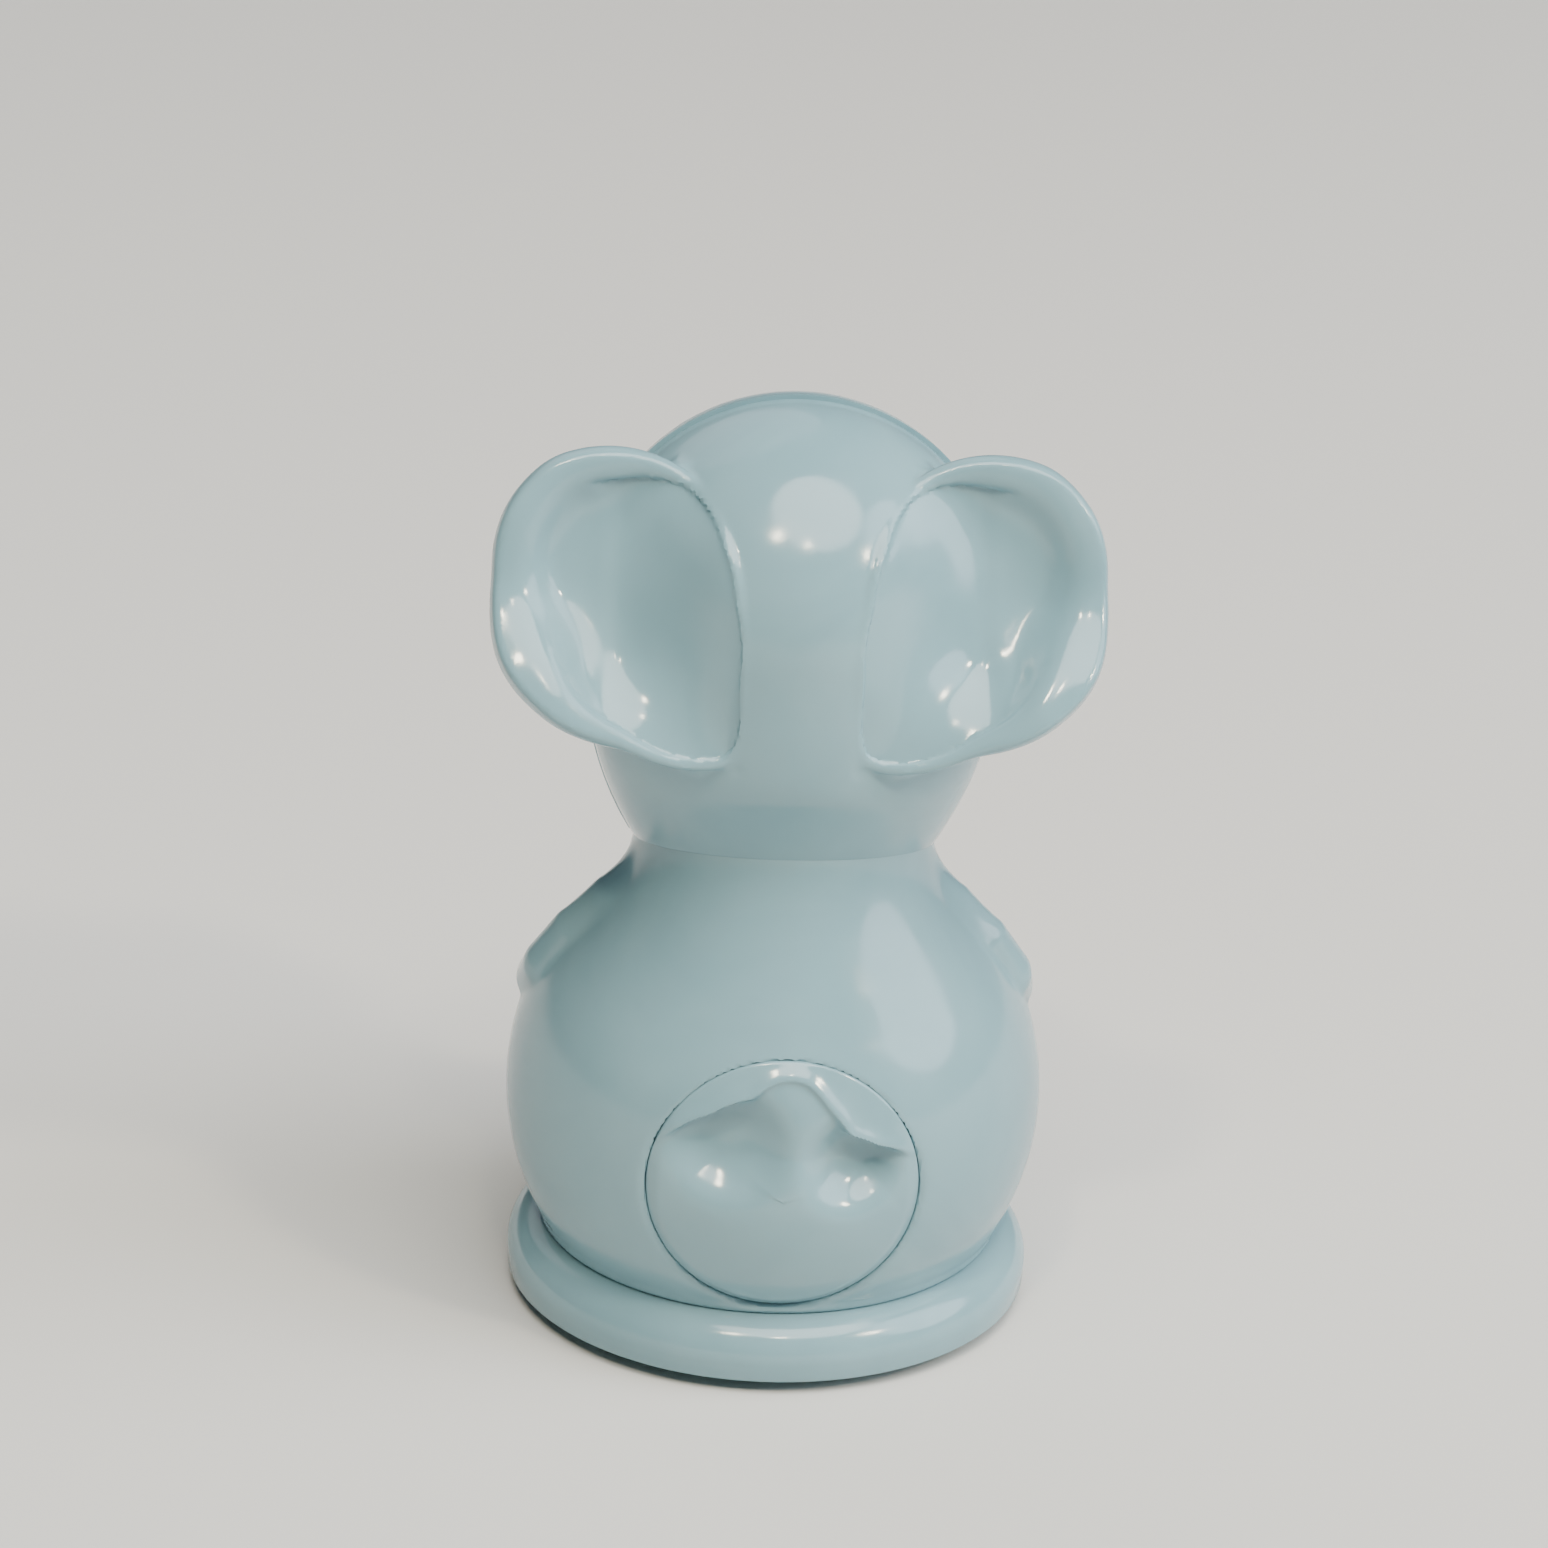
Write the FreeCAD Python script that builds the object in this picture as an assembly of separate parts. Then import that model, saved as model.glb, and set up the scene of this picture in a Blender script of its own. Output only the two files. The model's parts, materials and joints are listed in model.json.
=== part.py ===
"""Clockwork mouse: a moulded plastic wind-up figure on a low round plinth.

Millimetres, +Z up, standing on its wheels at Z = 0 with the face towards -Y. The body axis is
drawn at Y = 0 and export() slides everything so that the origin is the middle of the footprint.
"""
import FreeCAD, Part
import math
import os

Vec = FreeCAD.Vector
X_AXIS, Y_AXIS, Z_AXIS = Vec(1, 0, 0), Vec(0, 1, 0), Vec(0, 0, 1)

# ---- driving dimensions -------------------------------------------------------------------
origin_shift = 2.2          # slides the drawing so that the box is centred front to back
ride_height = 1.0           # plinth rim above the floor
wall = 1.3                  # moulded wall thickness
running_fit = 0.05          # radial clearance of every shaft in its hole

body_radius = 20.0
body_height = 16.0          # centre of the round body
neck_radius = 11.2
neck_height = 36.0
neck_bore = 8.7             # opening between head and body, where the sleeve sits
shoulder_height = 30.1      # where the round body gives way to the neck
plinth_radius = 19.7
plinth_top = 5.4
flange_inner = 12.2         # inner edge of the flanges that the body screws join
flange_wall = 1.0
base_bottom, base_top = ride_height, ride_height + 1.2

head_radius = 14.9
head_height = 55.3          # centre of the round dome
seam_y = -2.0               # where the rear shell meets the face shell
face_step = 0.35            # the face shell stands proud of the rear shell by this much

ear_cup_radius = 16.0
ear_rim_radius = 9.6
ear_wall = 1.9
ear_rim_lift = 1.6           # how far in front of the dish's foot its rim lies
ear_roll_radius = 1.15
ear_centre = Vec(11.5, 9.4, 58.6)
ear_facing = Vec(0.26, 0.92, 0.28)

eye_radius, eye_stem = 2.2, 1.2

knob_radius = 9.85
knob_clearance = 0.2
knob_back = 15.3            # Y of the knob's inner face

gear_module = 0.5
pressure_angle = math.radians(24)
crown_teeth, crown_pinion_teeth = 28, 8
second_teeth, axle_pinion_teeth, fly_pinion_teeth = 33, 10, 8
tooth_thinning = 0.10       # taken off each tooth at the pitch line, for backlash

crown_face = 2.2            # Y of the flat that the crown teeth stand on
crown_pitch_y = 1.5
tyre_radius = 5.5
wheel_inner_x, wheel_outer_x = 10.95, 11.8
frame_x, frame_wall = 8.4, 0.8
roller_radius, roller_y = 3.0, 8.4
arbor_radius, thin_arbor_radius, axle_radius = 1.0, 0.6, 0.8
middle_bridge_y, rear_bridge_y, bridge_wall = 4.9, 10.7, 0.8
foot_places = (-6.0, 5.6)
foot_hole = 0.72

ratchet_teeth, ratchet_tip, ratchet_root = 12, 3.2, 2.5
ratchet_front, ratchet_back = crown_face + 0.95, crown_face + 1.75

spring_turns, spring_strip, spring_width, spring_outer = 6, 0.3, 3.6, 6.9
spring_post_place, spring_post_radius = Vec(7.75, 0, body_height), 0.5

screw_radius, screw_head, screw_slot = 0.7, 1.4, 0.15
tapped_hole, clear_hole = 0.75, 0.85
body_screw_ring, base_screw_ring = 13.7, 15.6

pinion_radius = gear_module * crown_pinion_teeth / 2
second_y, second_z = crown_pitch_y - pinion_radius, body_height
axle_z = tyre_radius
axle_reach = gear_module * (second_teeth + axle_pinion_teeth) / 2
axle_y = second_y - math.sqrt(axle_reach ** 2 - (second_z - axle_z) ** 2)
fly_reach = gear_module * (second_teeth + fly_pinion_teeth) / 2
fly_angle = math.radians(138)
fly_y = second_y + fly_reach * math.cos(fly_angle)
fly_z = second_z + fly_reach * math.sin(fly_angle)


# ---- small helpers ------------------------------------------------------------------------
def rod(radius, start, end):
    """A round bar between two points."""
    return Part.makeCylinder(radius, (end - start).Length, start, end - start)


def tapered(radius_start, radius_end, start, end):
    """A round bar whose radius changes evenly from one end to the other."""
    if abs(radius_start - radius_end) < 1e-6:
        return rod(radius_start, start, end)
    return Part.makeCone(radius_start, radius_end, (end - start).Length, start, end - start)


def box(low, high):
    """A box between two corners."""
    return Part.makeBox(high.x - low.x, high.y - low.y, high.z - low.z, low)


def fused(shapes):
    """One clean solid from several that overlap."""
    first, rest = shapes[0], shapes[1:]
    return first.multiFuse(rest).removeSplitter() if rest else first


def mirrored(shape):
    """The same shape on the other side of X = 0."""
    return shape.mirror(Vec(0, 0, 0), X_AXIS)


def ellipsoid(centre, half_x, half_y, half_z):
    """A ball stretched to three half sizes."""
    stretch = FreeCAD.Matrix()
    stretch.scale(half_x, half_y, half_z)
    ball = Part.makeSphere(1.0).transformGeometry(stretch)
    ball.translate(centre)
    return ball


def turned(points, arcs):
    """Revolve a closed outline of (radius, z) points about Z; arcs maps an edge to its mid point."""
    edges = []
    for index, start in enumerate(points):
        end = points[(index + 1) % len(points)]
        a, b = Vec(start[0], 0, start[1]), Vec(end[0], 0, end[1])
        if index in arcs:
            middle = Vec(arcs[index][0], 0, arcs[index][1])
            edges.append(Part.Arc(a, middle, b).toShape())
        else:
            edges.append(Part.makeLine(a, b))
    return Part.Face(Part.Wire(edges)).revolve(Vec(0, 0, 0), Z_AXIS, 360)


def on_circle(radius, centre_z, z):
    """Radius of a ball of the given radius at height z."""
    return math.sqrt(radius ** 2 - (z - centre_z) ** 2)


def group(shapes):
    """Separate solids that share one node."""
    return Part.makeCompound(shapes)


def export(name, shape):
    """Write one node, slid to the footprint origin."""
    placed = shape.copy()
    placed.translate(Vec(0, origin_shift, 0))
    placed.exportStep(f"parts/{name}.step")


# ---- gears --------------------------------------------------------------------------------
def gear_blank(teeth, width):
    """A spur gear about Z with involute flanks, from Z = 0 up, one tooth centred on +X."""
    pitch = gear_module * teeth / 2
    base = pitch * math.cos(pressure_angle)
    tip, root = pitch + 0.85 * gear_module, pitch - 1.15 * gear_module
    half_tooth = (math.pi * gear_module / 2 - tooth_thinning) / (2 * pitch)
    roll_at_pitch = math.tan(pressure_angle) - pressure_angle
    flank = []
    low = max(base, root + 0.05)
    for step in range(5):
        radius = low + (tip - low) * step / 4
        pressure = math.acos(base / radius)
        flank.append((radius, half_tooth + roll_at_pitch - (math.tan(pressure) - pressure)))
    outline = []
    for tooth in range(teeth):
        centre = 2 * math.pi * tooth / teeth
        outline.append((root, centre - flank[0][1]))
        outline += [(radius, centre - angle) for radius, angle in flank]
        outline += [(radius, centre + angle) for radius, angle in reversed(flank)]
        outline.append((root, centre + flank[0][1]))
    points = [Vec(r * math.cos(a), r * math.sin(a), 0) for r, a in outline]
    return Part.Face(Part.makePolygon(points + points[:1])).extrude(Vec(0, 0, width))


def gear_on_x(teeth, x, width, y, z, towards):
    """A spur gear about an X-parallel shaft with one tooth pointing at the angle towards."""
    gear = gear_blank(teeth, width)
    gear.rotate(Vec(0, 0, 0), Z_AXIS, math.degrees(towards))
    gear.Placement = FreeCAD.Placement(
        Vec(x, y, z), FreeCAD.Rotation(Y_AXIS, Z_AXIS, X_AXIS)).multiply(gear.Placement)
    return gear


def drilled(shape, radius, start, end):
    """Cut a round hole."""
    return shape.cut(rod(radius, start, end))


# ---- casing -------------------------------------------------------------------------------
def body_skin(inset):
    """The closed shape of the body and neck, drawn in by inset."""
    radius = body_radius - inset
    shoulder, foot = shoulder_height - 0.7 * inset, plinth_top + (flange_wall if inset else 0.0)
    neck = neck_radius - inset
    points = [(0, foot), (on_circle(radius, body_height, foot), foot),
              (on_circle(radius, body_height, shoulder), shoulder),
              (neck, neck_height), (0, neck_height)]
    curve = (neck + 1.0, neck_height - 3.3)
    return turned(points, {1: (radius, body_height), 2: curve})


def arm():
    """One arm pressed against the +X side of the body, shoulder to paw."""
    joints = [(Vec(10.8, 1.0, 31.4), 1.9), (Vec(14.6, 0.6, 28.4), 2.3), (Vec(16.8, -0.8, 25.0), 2.35),
              (Vec(15.6, -7.8, 21.4), 2.2), (Vec(10.0, -14.8, 20.2), 2.4)]
    pieces = [Part.makeSphere(radius, place) for place, radius in joints]
    for (start, r_start), (end, r_end) in zip(joints, joints[1:]):
        pieces.append(tapered(r_start, r_end, start, end))
    return fused(pieces)


def body_shells():
    """Left (+X) and right halves of the body, with arms, knob collar and screw flange."""
    outside = body_skin(0)
    bead = Part.makeTorus(on_circle(body_radius, body_height, plinth_top) - 0.1, 0.5,
                          Vec(0, 0, plinth_top + 0.5), Z_AXIS)
    collar = rod(knob_radius + knob_clearance + 1.0, Vec(0, 13.6, body_height),
                 Vec(0, body_radius, body_height)).common(outside)
    whole = fused([outside, bead, arm(), mirrored(arm())])
    inside = body_skin(wall)
    whole = whole.cut(inside)
    whole = fused([whole, collar])
    whole = drilled(whole, knob_radius + knob_clearance, Vec(0, 12, body_height),
                    Vec(0, 24, body_height))
    whole = drilled(whole, flange_inner, Vec(0, 0, 0), Vec(0, 0, plinth_top + 2))
    whole = drilled(whole, neck_bore, Vec(0, 0, neck_height - 4), Vec(0, 0, neck_height + 1))
    for side in (-1, 1):
        whole = whole.cut(wheel_well(side))
    for place in body_screw_places():
        whole = drilled(whole, tapped_hole, place, place + Vec(0, 0, 3))
    left = whole.common(box(Vec(0, -30, 0), Vec(30, 30, 60)))
    right = whole.common(box(Vec(-30, -30, 0), Vec(0, 30, 60)))
    return left, right


def wheel_well(side):
    """Room for one road wheel."""
    low = min(side * (wheel_inner_x - 0.6), side * (wheel_outer_x + 0.35))
    high = max(side * (wheel_inner_x - 0.6), side * (wheel_outer_x + 0.35))
    reach = tyre_radius + 0.35
    return box(Vec(low, axle_y - reach, -1), Vec(high, axle_y + reach, axle_z + reach))


def body_screw_places():
    """Where the screws pass from the plinth flange into the body."""
    return [Vec(body_screw_ring * math.cos(a), body_screw_ring * math.sin(a), plinth_top - flange_wall)
            for a in (math.radians(d) for d in (62, 118, 242, 298))]


def plinth():
    """The low round skirt: a soft shoulder, a near-upright wall and an inner flange."""
    rim, top = ride_height, plinth_top
    points = [(plinth_radius, rim), (plinth_radius - 0.35, top - 1.9), (plinth_radius - 2.2, top),
              (flange_inner, top), (flange_inner, top - flange_wall),
              (plinth_radius - 2.9, top - flange_wall),
              (plinth_radius - wall, rim + 1.3), (plinth_radius - wall, rim)]
    arcs = {1: (plinth_radius - 0.85, top - 0.6)}
    ring = turned(points, arcs)
    bosses = [rod(1.7, place, Vec(place.x, place.y, top - 0.5)) for place in base_screw_places()]
    ring = fused([ring] + bosses)
    for place in base_screw_places():
        ring = drilled(ring, tapped_hole, place - Z_AXIS, Vec(place.x, place.y, top - 0.6))
    for place in body_screw_places():
        ring = drilled(ring, clear_hole, place - Vec(0, 0, 2), place + Vec(0, 0, 2))
    for side in (-1, 1):
        ring = ring.cut(wheel_well(side))
    return ring


def base_screw_places():
    """Where the base plate is screwed to the plinth."""
    return [Vec(base_screw_ring * math.cos(a), base_screw_ring * math.sin(a), base_top)
            for a in (math.radians(d) for d in (90, 212, 328))]


def base_plate():
    """Underside cover with slots for the wheels and a cradle for the roller pin."""
    plate = rod(plinth_radius - wall - 0.05, Vec(0, 0, base_bottom), Vec(0, 0, base_top))
    lugs = [box(Vec(side * 4.2 - 0.5, roller_y - 1.4, base_bottom),
                Vec(side * 4.2 + 0.5, roller_y + 1.4, roller_radius + 1.2)) for side in (-1, 1)]
    plate = fused([plate] + lugs)
    plate = plate.cut(box(Vec(-3.4, roller_y - 3.3, 0), Vec(3.4, roller_y + 3.3, base_top + 1)))
    plate = drilled(plate, thin_arbor_radius + running_fit, Vec(-6, roller_y, roller_radius),
                    Vec(6, roller_y, roller_radius))
    for side in (-1, 1):
        plate = plate.cut(wheel_well(side))
    for place in base_screw_places() + motor_screw_places():
        plate = drilled(plate, tapped_hole, place - Vec(0, 0, 3), place + Vec(0, 0, 1))
        sink_foot = Vec(place.x, place.y, base_bottom)
        plate = plate.cut(tapered(screw_head + 0.05, tapped_hole, sink_foot, sink_foot + Vec(0, 0, 0.7)))
    return plate


def screws(places, length, countersunk=True):
    """Slotted screws driven upwards, all in one node."""
    made = []
    for place in places:
        foot = Vec(place.x, place.y, base_bottom) if countersunk else place - Vec(0, 0, 0.7)
        cap = tapered(screw_head, screw_radius if countersunk else screw_head, foot, foot + Vec(0, 0, 0.7))
        screw = fused([rod(screw_radius, foot, foot + Vec(0, 0, length)), cap])
        made.append(screw.cut(box(foot + Vec(-2, -screw_slot, -0.1), foot + Vec(2, screw_slot, 0.3))))
    return group(made)


# ---- head ---------------------------------------------------------------------------------
def head_skin(inset):
    """The closed head: a round dome that narrows down to the neck."""
    radius, middle = head_radius - inset, head_height
    neck, foot = neck_radius - inset, neck_height + max(inset, 0)
    points = [(0, foot), (neck, foot), (radius, middle), (0, middle + radius)]
    side = (neck + 2.7, neck_height + 6.4)
    dome = (radius * math.sqrt(0.5), middle + radius * math.sqrt(0.5))
    return turned(points, {1: side, 2: dome})


def snout(inset):
    """The tapering muzzle with a round tip, drawn in by inset."""
    root, tip = Vec(0, -10.0, 47.6), Vec(0, -20.6, 46.2)
    root_radius, tip_radius = 7.6 - inset, 3.3 - inset
    return fused([tapered(root_radius, tip_radius, root, tip), Part.makeSphere(tip_radius, tip)])


def ear():
    """The +X ear: a dish open to the rear, thick at its rolled rim."""
    facing = Vec(ear_facing).normalize()
    depth = math.sqrt(ear_cup_radius ** 2 - ear_rim_radius ** 2)
    ball = ear_centre + facing * depth
    rim_at = ear_centre + facing * ear_rim_lift
    cup = Part.makeSphere(ear_cup_radius, ball)
    cup = cup.cut(Part.makeSphere(ear_cup_radius - ear_wall, ball + facing * 0.6))
    cup = cup.cut(Part.makeCylinder(30, 30, rim_at, facing))
    rim_radius = math.sqrt(ear_cup_radius ** 2 - (depth - ear_rim_lift) ** 2) - 0.85
    roll = Part.makeTorus(rim_radius, ear_roll_radius, rim_at, facing)
    outer_side = box(Vec(7.5, -30, 30), Vec(40, 30, 90))
    return fused([cup, roll.common(outer_side)])


def head_shells():
    """The rear shell with both ears, and the face shell that laps over its edge."""
    outside, inside = head_skin(0), head_skin(wall)
    behind = box(Vec(-40, seam_y, 0), Vec(40, 40, 90))
    ahead = box(Vec(-40, -40, 0), Vec(40, seam_y, 90))
    ears = [shape.cut(outside).common(behind) for shape in (ear(), mirrored(ear()))]
    rear = fused([outside.cut(inside).common(behind)] + ears)
    face = head_skin(-face_step).cut(inside).common(ahead)
    face = fused([face, snout(0).cut(head_skin(wall / 2))]).cut(snout(wall))
    for side in (-1, 1):
        middle, outward = eye_line(side)
        face = drilled(face, eye_stem, middle + outward * 12, middle + outward * 20)
    below, above = Vec(0, 0, neck_height - 1), Vec(0, 0, neck_height + 3)
    return drilled(rear, neck_bore, below, above), drilled(face, neck_bore, below, above)


def neck_sleeve():
    """The tube that joins head and body, pressed into both."""
    outer = rod(neck_bore - running_fit, Vec(0, 0, neck_height - 3.2), Vec(0, 0, neck_height + 2.4))
    return drilled(outer, neck_bore - wall, Vec(0, 0, neck_height - 5), Vec(0, 0, neck_height + 5))


# ---- winding knob and arbor ---------------------------------------------------------------
def knob():
    """The flush winding knob: a cap of the body's own curve with a grip and two thumb hollows."""
    crown = 0.15
    disc = rod(knob_radius, Vec(0, knob_back, body_height), Vec(0, 26, body_height))
    disc = disc.common(Part.makeSphere(body_radius + crown, Vec(0, 0, body_height)))
    grip = ellipsoid(Vec(0, 18.1, body_height + 4.9), 2.5, 2.6, 5.6)
    hollows = [Part.makeSphere(5.2, Vec(side * 5.6, 22.1, body_height + 5.4)) for side in (-1, 1)]
    for hollow in hollows:
        disc = disc.cut(hollow)
    grip = grip.common(rod(knob_radius, Vec(0, knob_back, body_height), Vec(0, 26, body_height)))
    boss = rod(2.4, Vec(0, 13.0, body_height), Vec(0, knob_back + 1, body_height))
    whole = fused([disc, grip, boss])
    return drilled(whole, arbor_radius, Vec(0, 12.5, body_height), Vec(0, 17.3, body_height))


def winding_arbor():
    """The shaft that the knob turns."""
    return rod(arbor_radius, Vec(0, 2.0, body_height), Vec(0, 17.3, body_height))


def crown_wheel():
    """A disc with teeth standing on its front face, driven through the ratchet."""
    pitch = gear_module * crown_teeth / 2
    disc = rod(pitch + 0.6, Vec(0, crown_face, body_height), Vec(0, crown_face + 0.9, body_height))
    teeth = []
    top = crown_pitch_y - 0.55
    half_root, half_tip = 0.42, 0.16
    for index in range(crown_teeth):
        outline = [Vec(pitch - 0.6, crown_face + 0.1, -half_root), Vec(pitch - 0.6, top, -half_tip),
                   Vec(pitch - 0.6, top, half_tip), Vec(pitch - 0.6, crown_face + 0.1, half_root)]
        tooth = Part.Face(Part.makePolygon(outline + outline[:1])).extrude(Vec(1.2, 0, 0))
        tooth.translate(Vec(0, 0, body_height))
        tooth.rotate(Vec(0, 0, body_height), Y_AXIS, 360.0 * index / crown_teeth)
        teeth.append(tooth)
    wheel = fused([disc] + teeth)
    wheel = drilled(wheel, arbor_radius, Vec(0, 0, body_height), Vec(0, 6, body_height))
    for index in range(5):
        angle = 2 * math.pi * (index + 0.5) / 5
        place = Vec(4.6 * math.cos(angle), 0, body_height + 4.6 * math.sin(angle))
        wheel = drilled(wheel, 1.3, place, place + Vec(0, 6, 0))
    return wheel


def ratchet_wheel():
    """Saw-toothed wheel fixed on the arbor behind the crown wheel."""
    points = []
    for index in range(ratchet_teeth):
        start = 2 * math.pi * index / ratchet_teeth
        for radius, angle in ((ratchet_tip, start), (ratchet_root, start + 0.03)):
            points.append(Vec(radius * math.cos(angle), ratchet_front,
                              body_height + radius * math.sin(angle)))
    face = Part.Face(Part.makePolygon(points + points[:1]))
    wheel = face.extrude(Vec(0, ratchet_back - ratchet_front, 0))
    return drilled(wheel, arbor_radius, Vec(0, 0, body_height), Vec(0, 8, body_height))


def click():
    """The sprung pawl that lets the knob turn one way without the train."""
    pivot = Vec(4.7, ratchet_front, body_height + 1.6)
    arm_piece = box(Vec(ratchet_tip + 0.12, ratchet_front, body_height - 0.1),
                    Vec(ratchet_tip + 1.0, ratchet_back, body_height + 2.0))
    hub = rod(1.0, pivot, pivot + Vec(0, ratchet_back - ratchet_front, 0))
    return fused([arm_piece, hub])


def spiral_edges(offset):
    """Half-circle arcs of a widening spiral, moved outwards by offset."""
    inner = arbor_radius + 0.3
    pitch = (spring_outer - inner) / spring_turns
    edges = []
    for half in range(2 * spring_turns):
        near, far = inner + pitch * half / 2 + offset, inner + pitch * (half + 1) / 2 + offset
        side = 1 if half % 2 == 0 else -1
        start, end = Vec(side * near, 0, 0), Vec(-side * far, 0, 0)
        top = Vec((start.x + end.x) / 2, 0, side * (near + far) / 2)
        edges.append(Part.Arc(start, top, end).toShape())
    return edges


def mainspring():
    """A flat strip wound in a loose spiral from the arbor out to its post."""
    outside, inside = spiral_edges(spring_strip / 2), spiral_edges(-spring_strip / 2)
    ends = [Part.makeLine(inside[0].Vertexes[0].Point, outside[0].Vertexes[0].Point),
            Part.makeLine(inside[-1].Vertexes[-1].Point, outside[-1].Vertexes[-1].Point)]
    outline = Part.Wire(Part.__sortEdges__(outside + inside + ends))
    spring = Part.Face(outline).extrude(Vec(0, spring_width, 0))
    spring.translate(Vec(0, 6.5, body_height))
    return spring


# ---- frame --------------------------------------------------------------------------------

def side_plate(side):
    """One upright plate of the motor frame, with two feet turned in."""
    x = side * frame_x if side > 0 else -frame_x - frame_wall
    outline = [(-7.6, base_top), (7.6, base_top), (7.6, 7.0), (11.4, 9.5), (11.4, 22.5), (7, 27),
               (-7, 27), (-11.4, 22.5), (-11.4, 9.5), (-7.6, 7.0)]
    points = [Vec(x, y, z) for y, z in outline]
    plate = Part.Face(Part.makePolygon(points + points[:1])).extrude(Vec(frame_wall, 0, 0))
    inner = side * (frame_x - 2.6)
    feet = [box(Vec(min(inner, side * (frame_x + 0.1)), y - 1.5, base_top),
                Vec(max(inner, side * (frame_x + 0.1)), y + 1.5, base_top + 0.8))
            for y in foot_places]
    plate = fused([plate] + feet)
    for y, z, radius in ((second_y, second_z, thin_arbor_radius), (axle_y, axle_z, axle_radius),
                         (fly_y, fly_z, thin_arbor_radius)):
        plate = drilled(plate, radius + running_fit, Vec(-15, y, z), Vec(15, y, z))
    for place in motor_screw_places():
        plate = drilled(plate, foot_hole, place - Z_AXIS, place + Vec(0, 0, 2))
    for y in (middle_bridge_y, rear_bridge_y):
        plate = plate.cut(box(Vec(-12, y, body_height - 3), Vec(12, y + bridge_wall, body_height + 3)))
    for y, z in pillar_places():
        plate = drilled(plate, 0.8, Vec(-15, y, z), Vec(15, y, z))
    return plate


def motor_screw_places():
    """Where the frame's feet are screwed down."""
    return [Vec(side * (frame_x - 1.5), y, base_top) for side in (-1, 1) for y in foot_places]


def pillar_places():
    """Y and Z of the pillars that hold the side plates apart."""
    return [(-9.6, 10.6), (-9.8, 15.0), (6.4, 25.4)]


def frame_pillars():
    """Shouldered pillars between the side plates."""
    made = []
    for y, z in pillar_places():
        body = rod(1.1, Vec(-frame_x, y, z), Vec(frame_x, y, z))
        ends = rod(0.8, Vec(-frame_x - frame_wall - 0.3, y, z), Vec(frame_x + frame_wall + 0.3, y, z))
        made.append(fused([body, ends]))
    return group(made)


def bridge(y):
    """A cross plate that bears the winding arbor, tenoned into both side plates."""
    plate = box(Vec(-frame_x, y, 8.2), Vec(frame_x, y + bridge_wall, 23.8))
    tenons = box(Vec(-frame_x - frame_wall, y, body_height - 3),
                 Vec(frame_x + frame_wall, y + bridge_wall, body_height + 3))
    plate = fused([plate, tenons])
    plate = drilled(plate, arbor_radius + running_fit, Vec(0, y - 1, body_height),
                    Vec(0, y + 2, body_height))
    return drilled(plate, spring_post_radius, spring_post_place + Vec(0, y - 1, 0),
                   spring_post_place + Vec(0, y + 2, 0))


def spring_post():
    """The pin that holds the outer end of the mainspring."""
    start = spring_post_place + Vec(0, middle_bridge_y, 0)
    end = spring_post_place + Vec(0, rear_bridge_y + bridge_wall, 0)
    return rod(spring_post_radius, start, end)


# ---- train --------------------------------------------------------------------------------
def second_arbor():
    """Cross shaft with the pinion that the crown teeth drive."""
    shaft = rod(thin_arbor_radius, Vec(-11.0, second_y, second_z), Vec(9.9, second_y, second_z))
    pitch = gear_module * crown_teeth / 2
    half_step = math.pi / crown_pinion_teeth
    pinion = gear_on_x(crown_pinion_teeth, pitch - 0.55, 1.1, second_y, second_z, half_step)
    return fused([shaft, pinion])


def angle_between(y0, z0, y1, z1):
    """Direction from one shaft to another, about X from +Y."""
    return math.atan2(z1 - z0, y1 - y0)


def second_wheel():
    """The large spur wheel outside the frame, driving the axle and the fly."""
    towards = angle_between(second_y, second_z, axle_y, axle_z)
    wheel = gear_on_x(second_teeth, -10.5, 0.7, second_y, second_z, towards)
    wheel = drilled(wheel, thin_arbor_radius, Vec(-12, second_y, second_z), Vec(0, second_y, second_z))
    for index in range(6):
        angle = towards + 2 * math.pi * (index + 0.5) / 6
        y, z = second_y + 4.6 * math.cos(angle), second_z + 4.6 * math.sin(angle)
        wheel = drilled(wheel, 1.7, Vec(-12, y, z), Vec(0, y, z))
    return wheel


def meshing_angle(y, z, teeth):
    """Turn of a gear at (y, z) that puts its gap on the second wheel's tooth."""
    towards_axle = angle_between(second_y, second_z, axle_y, axle_z)
    towards_me = angle_between(second_y, second_z, y, z)
    tooth_phase = (towards_me - towards_axle) * second_teeth / teeth
    return towards_me + math.pi + tooth_phase + math.pi / teeth


def axle_pinion():
    """Small gear pressed on the drive axle."""
    pinion = gear_on_x(axle_pinion_teeth, -10.65, 1.0, axle_y, axle_z,
                       meshing_angle(axle_y, axle_z, axle_pinion_teeth))
    return drilled(pinion, axle_radius, Vec(-12, axle_y, axle_z), Vec(0, axle_y, axle_z))


def drive_axle():
    """The steel axle through both side plates."""
    return rod(axle_radius, Vec(-12.0, axle_y, axle_z), Vec(12.0, axle_y, axle_z))


def wheel_and_tyre(side):
    """One road wheel and its rubber tyre."""
    inner, outer = side * wheel_inner_x, side * wheel_outer_x
    centre_in, centre_out = Vec(inner, axle_y, axle_z), Vec(outer, axle_y, axle_z)
    wheel = drilled(rod(tyre_radius - 1.0, centre_in, centre_out), axle_radius,
                    centre_in - X_AXIS * side, centre_out + X_AXIS * side)
    tyre = drilled(rod(tyre_radius, centre_in, centre_out), tyre_radius - 1.0,
                   centre_in - X_AXIS * side, centre_out + X_AXIS * side)
    return wheel, tyre


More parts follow.
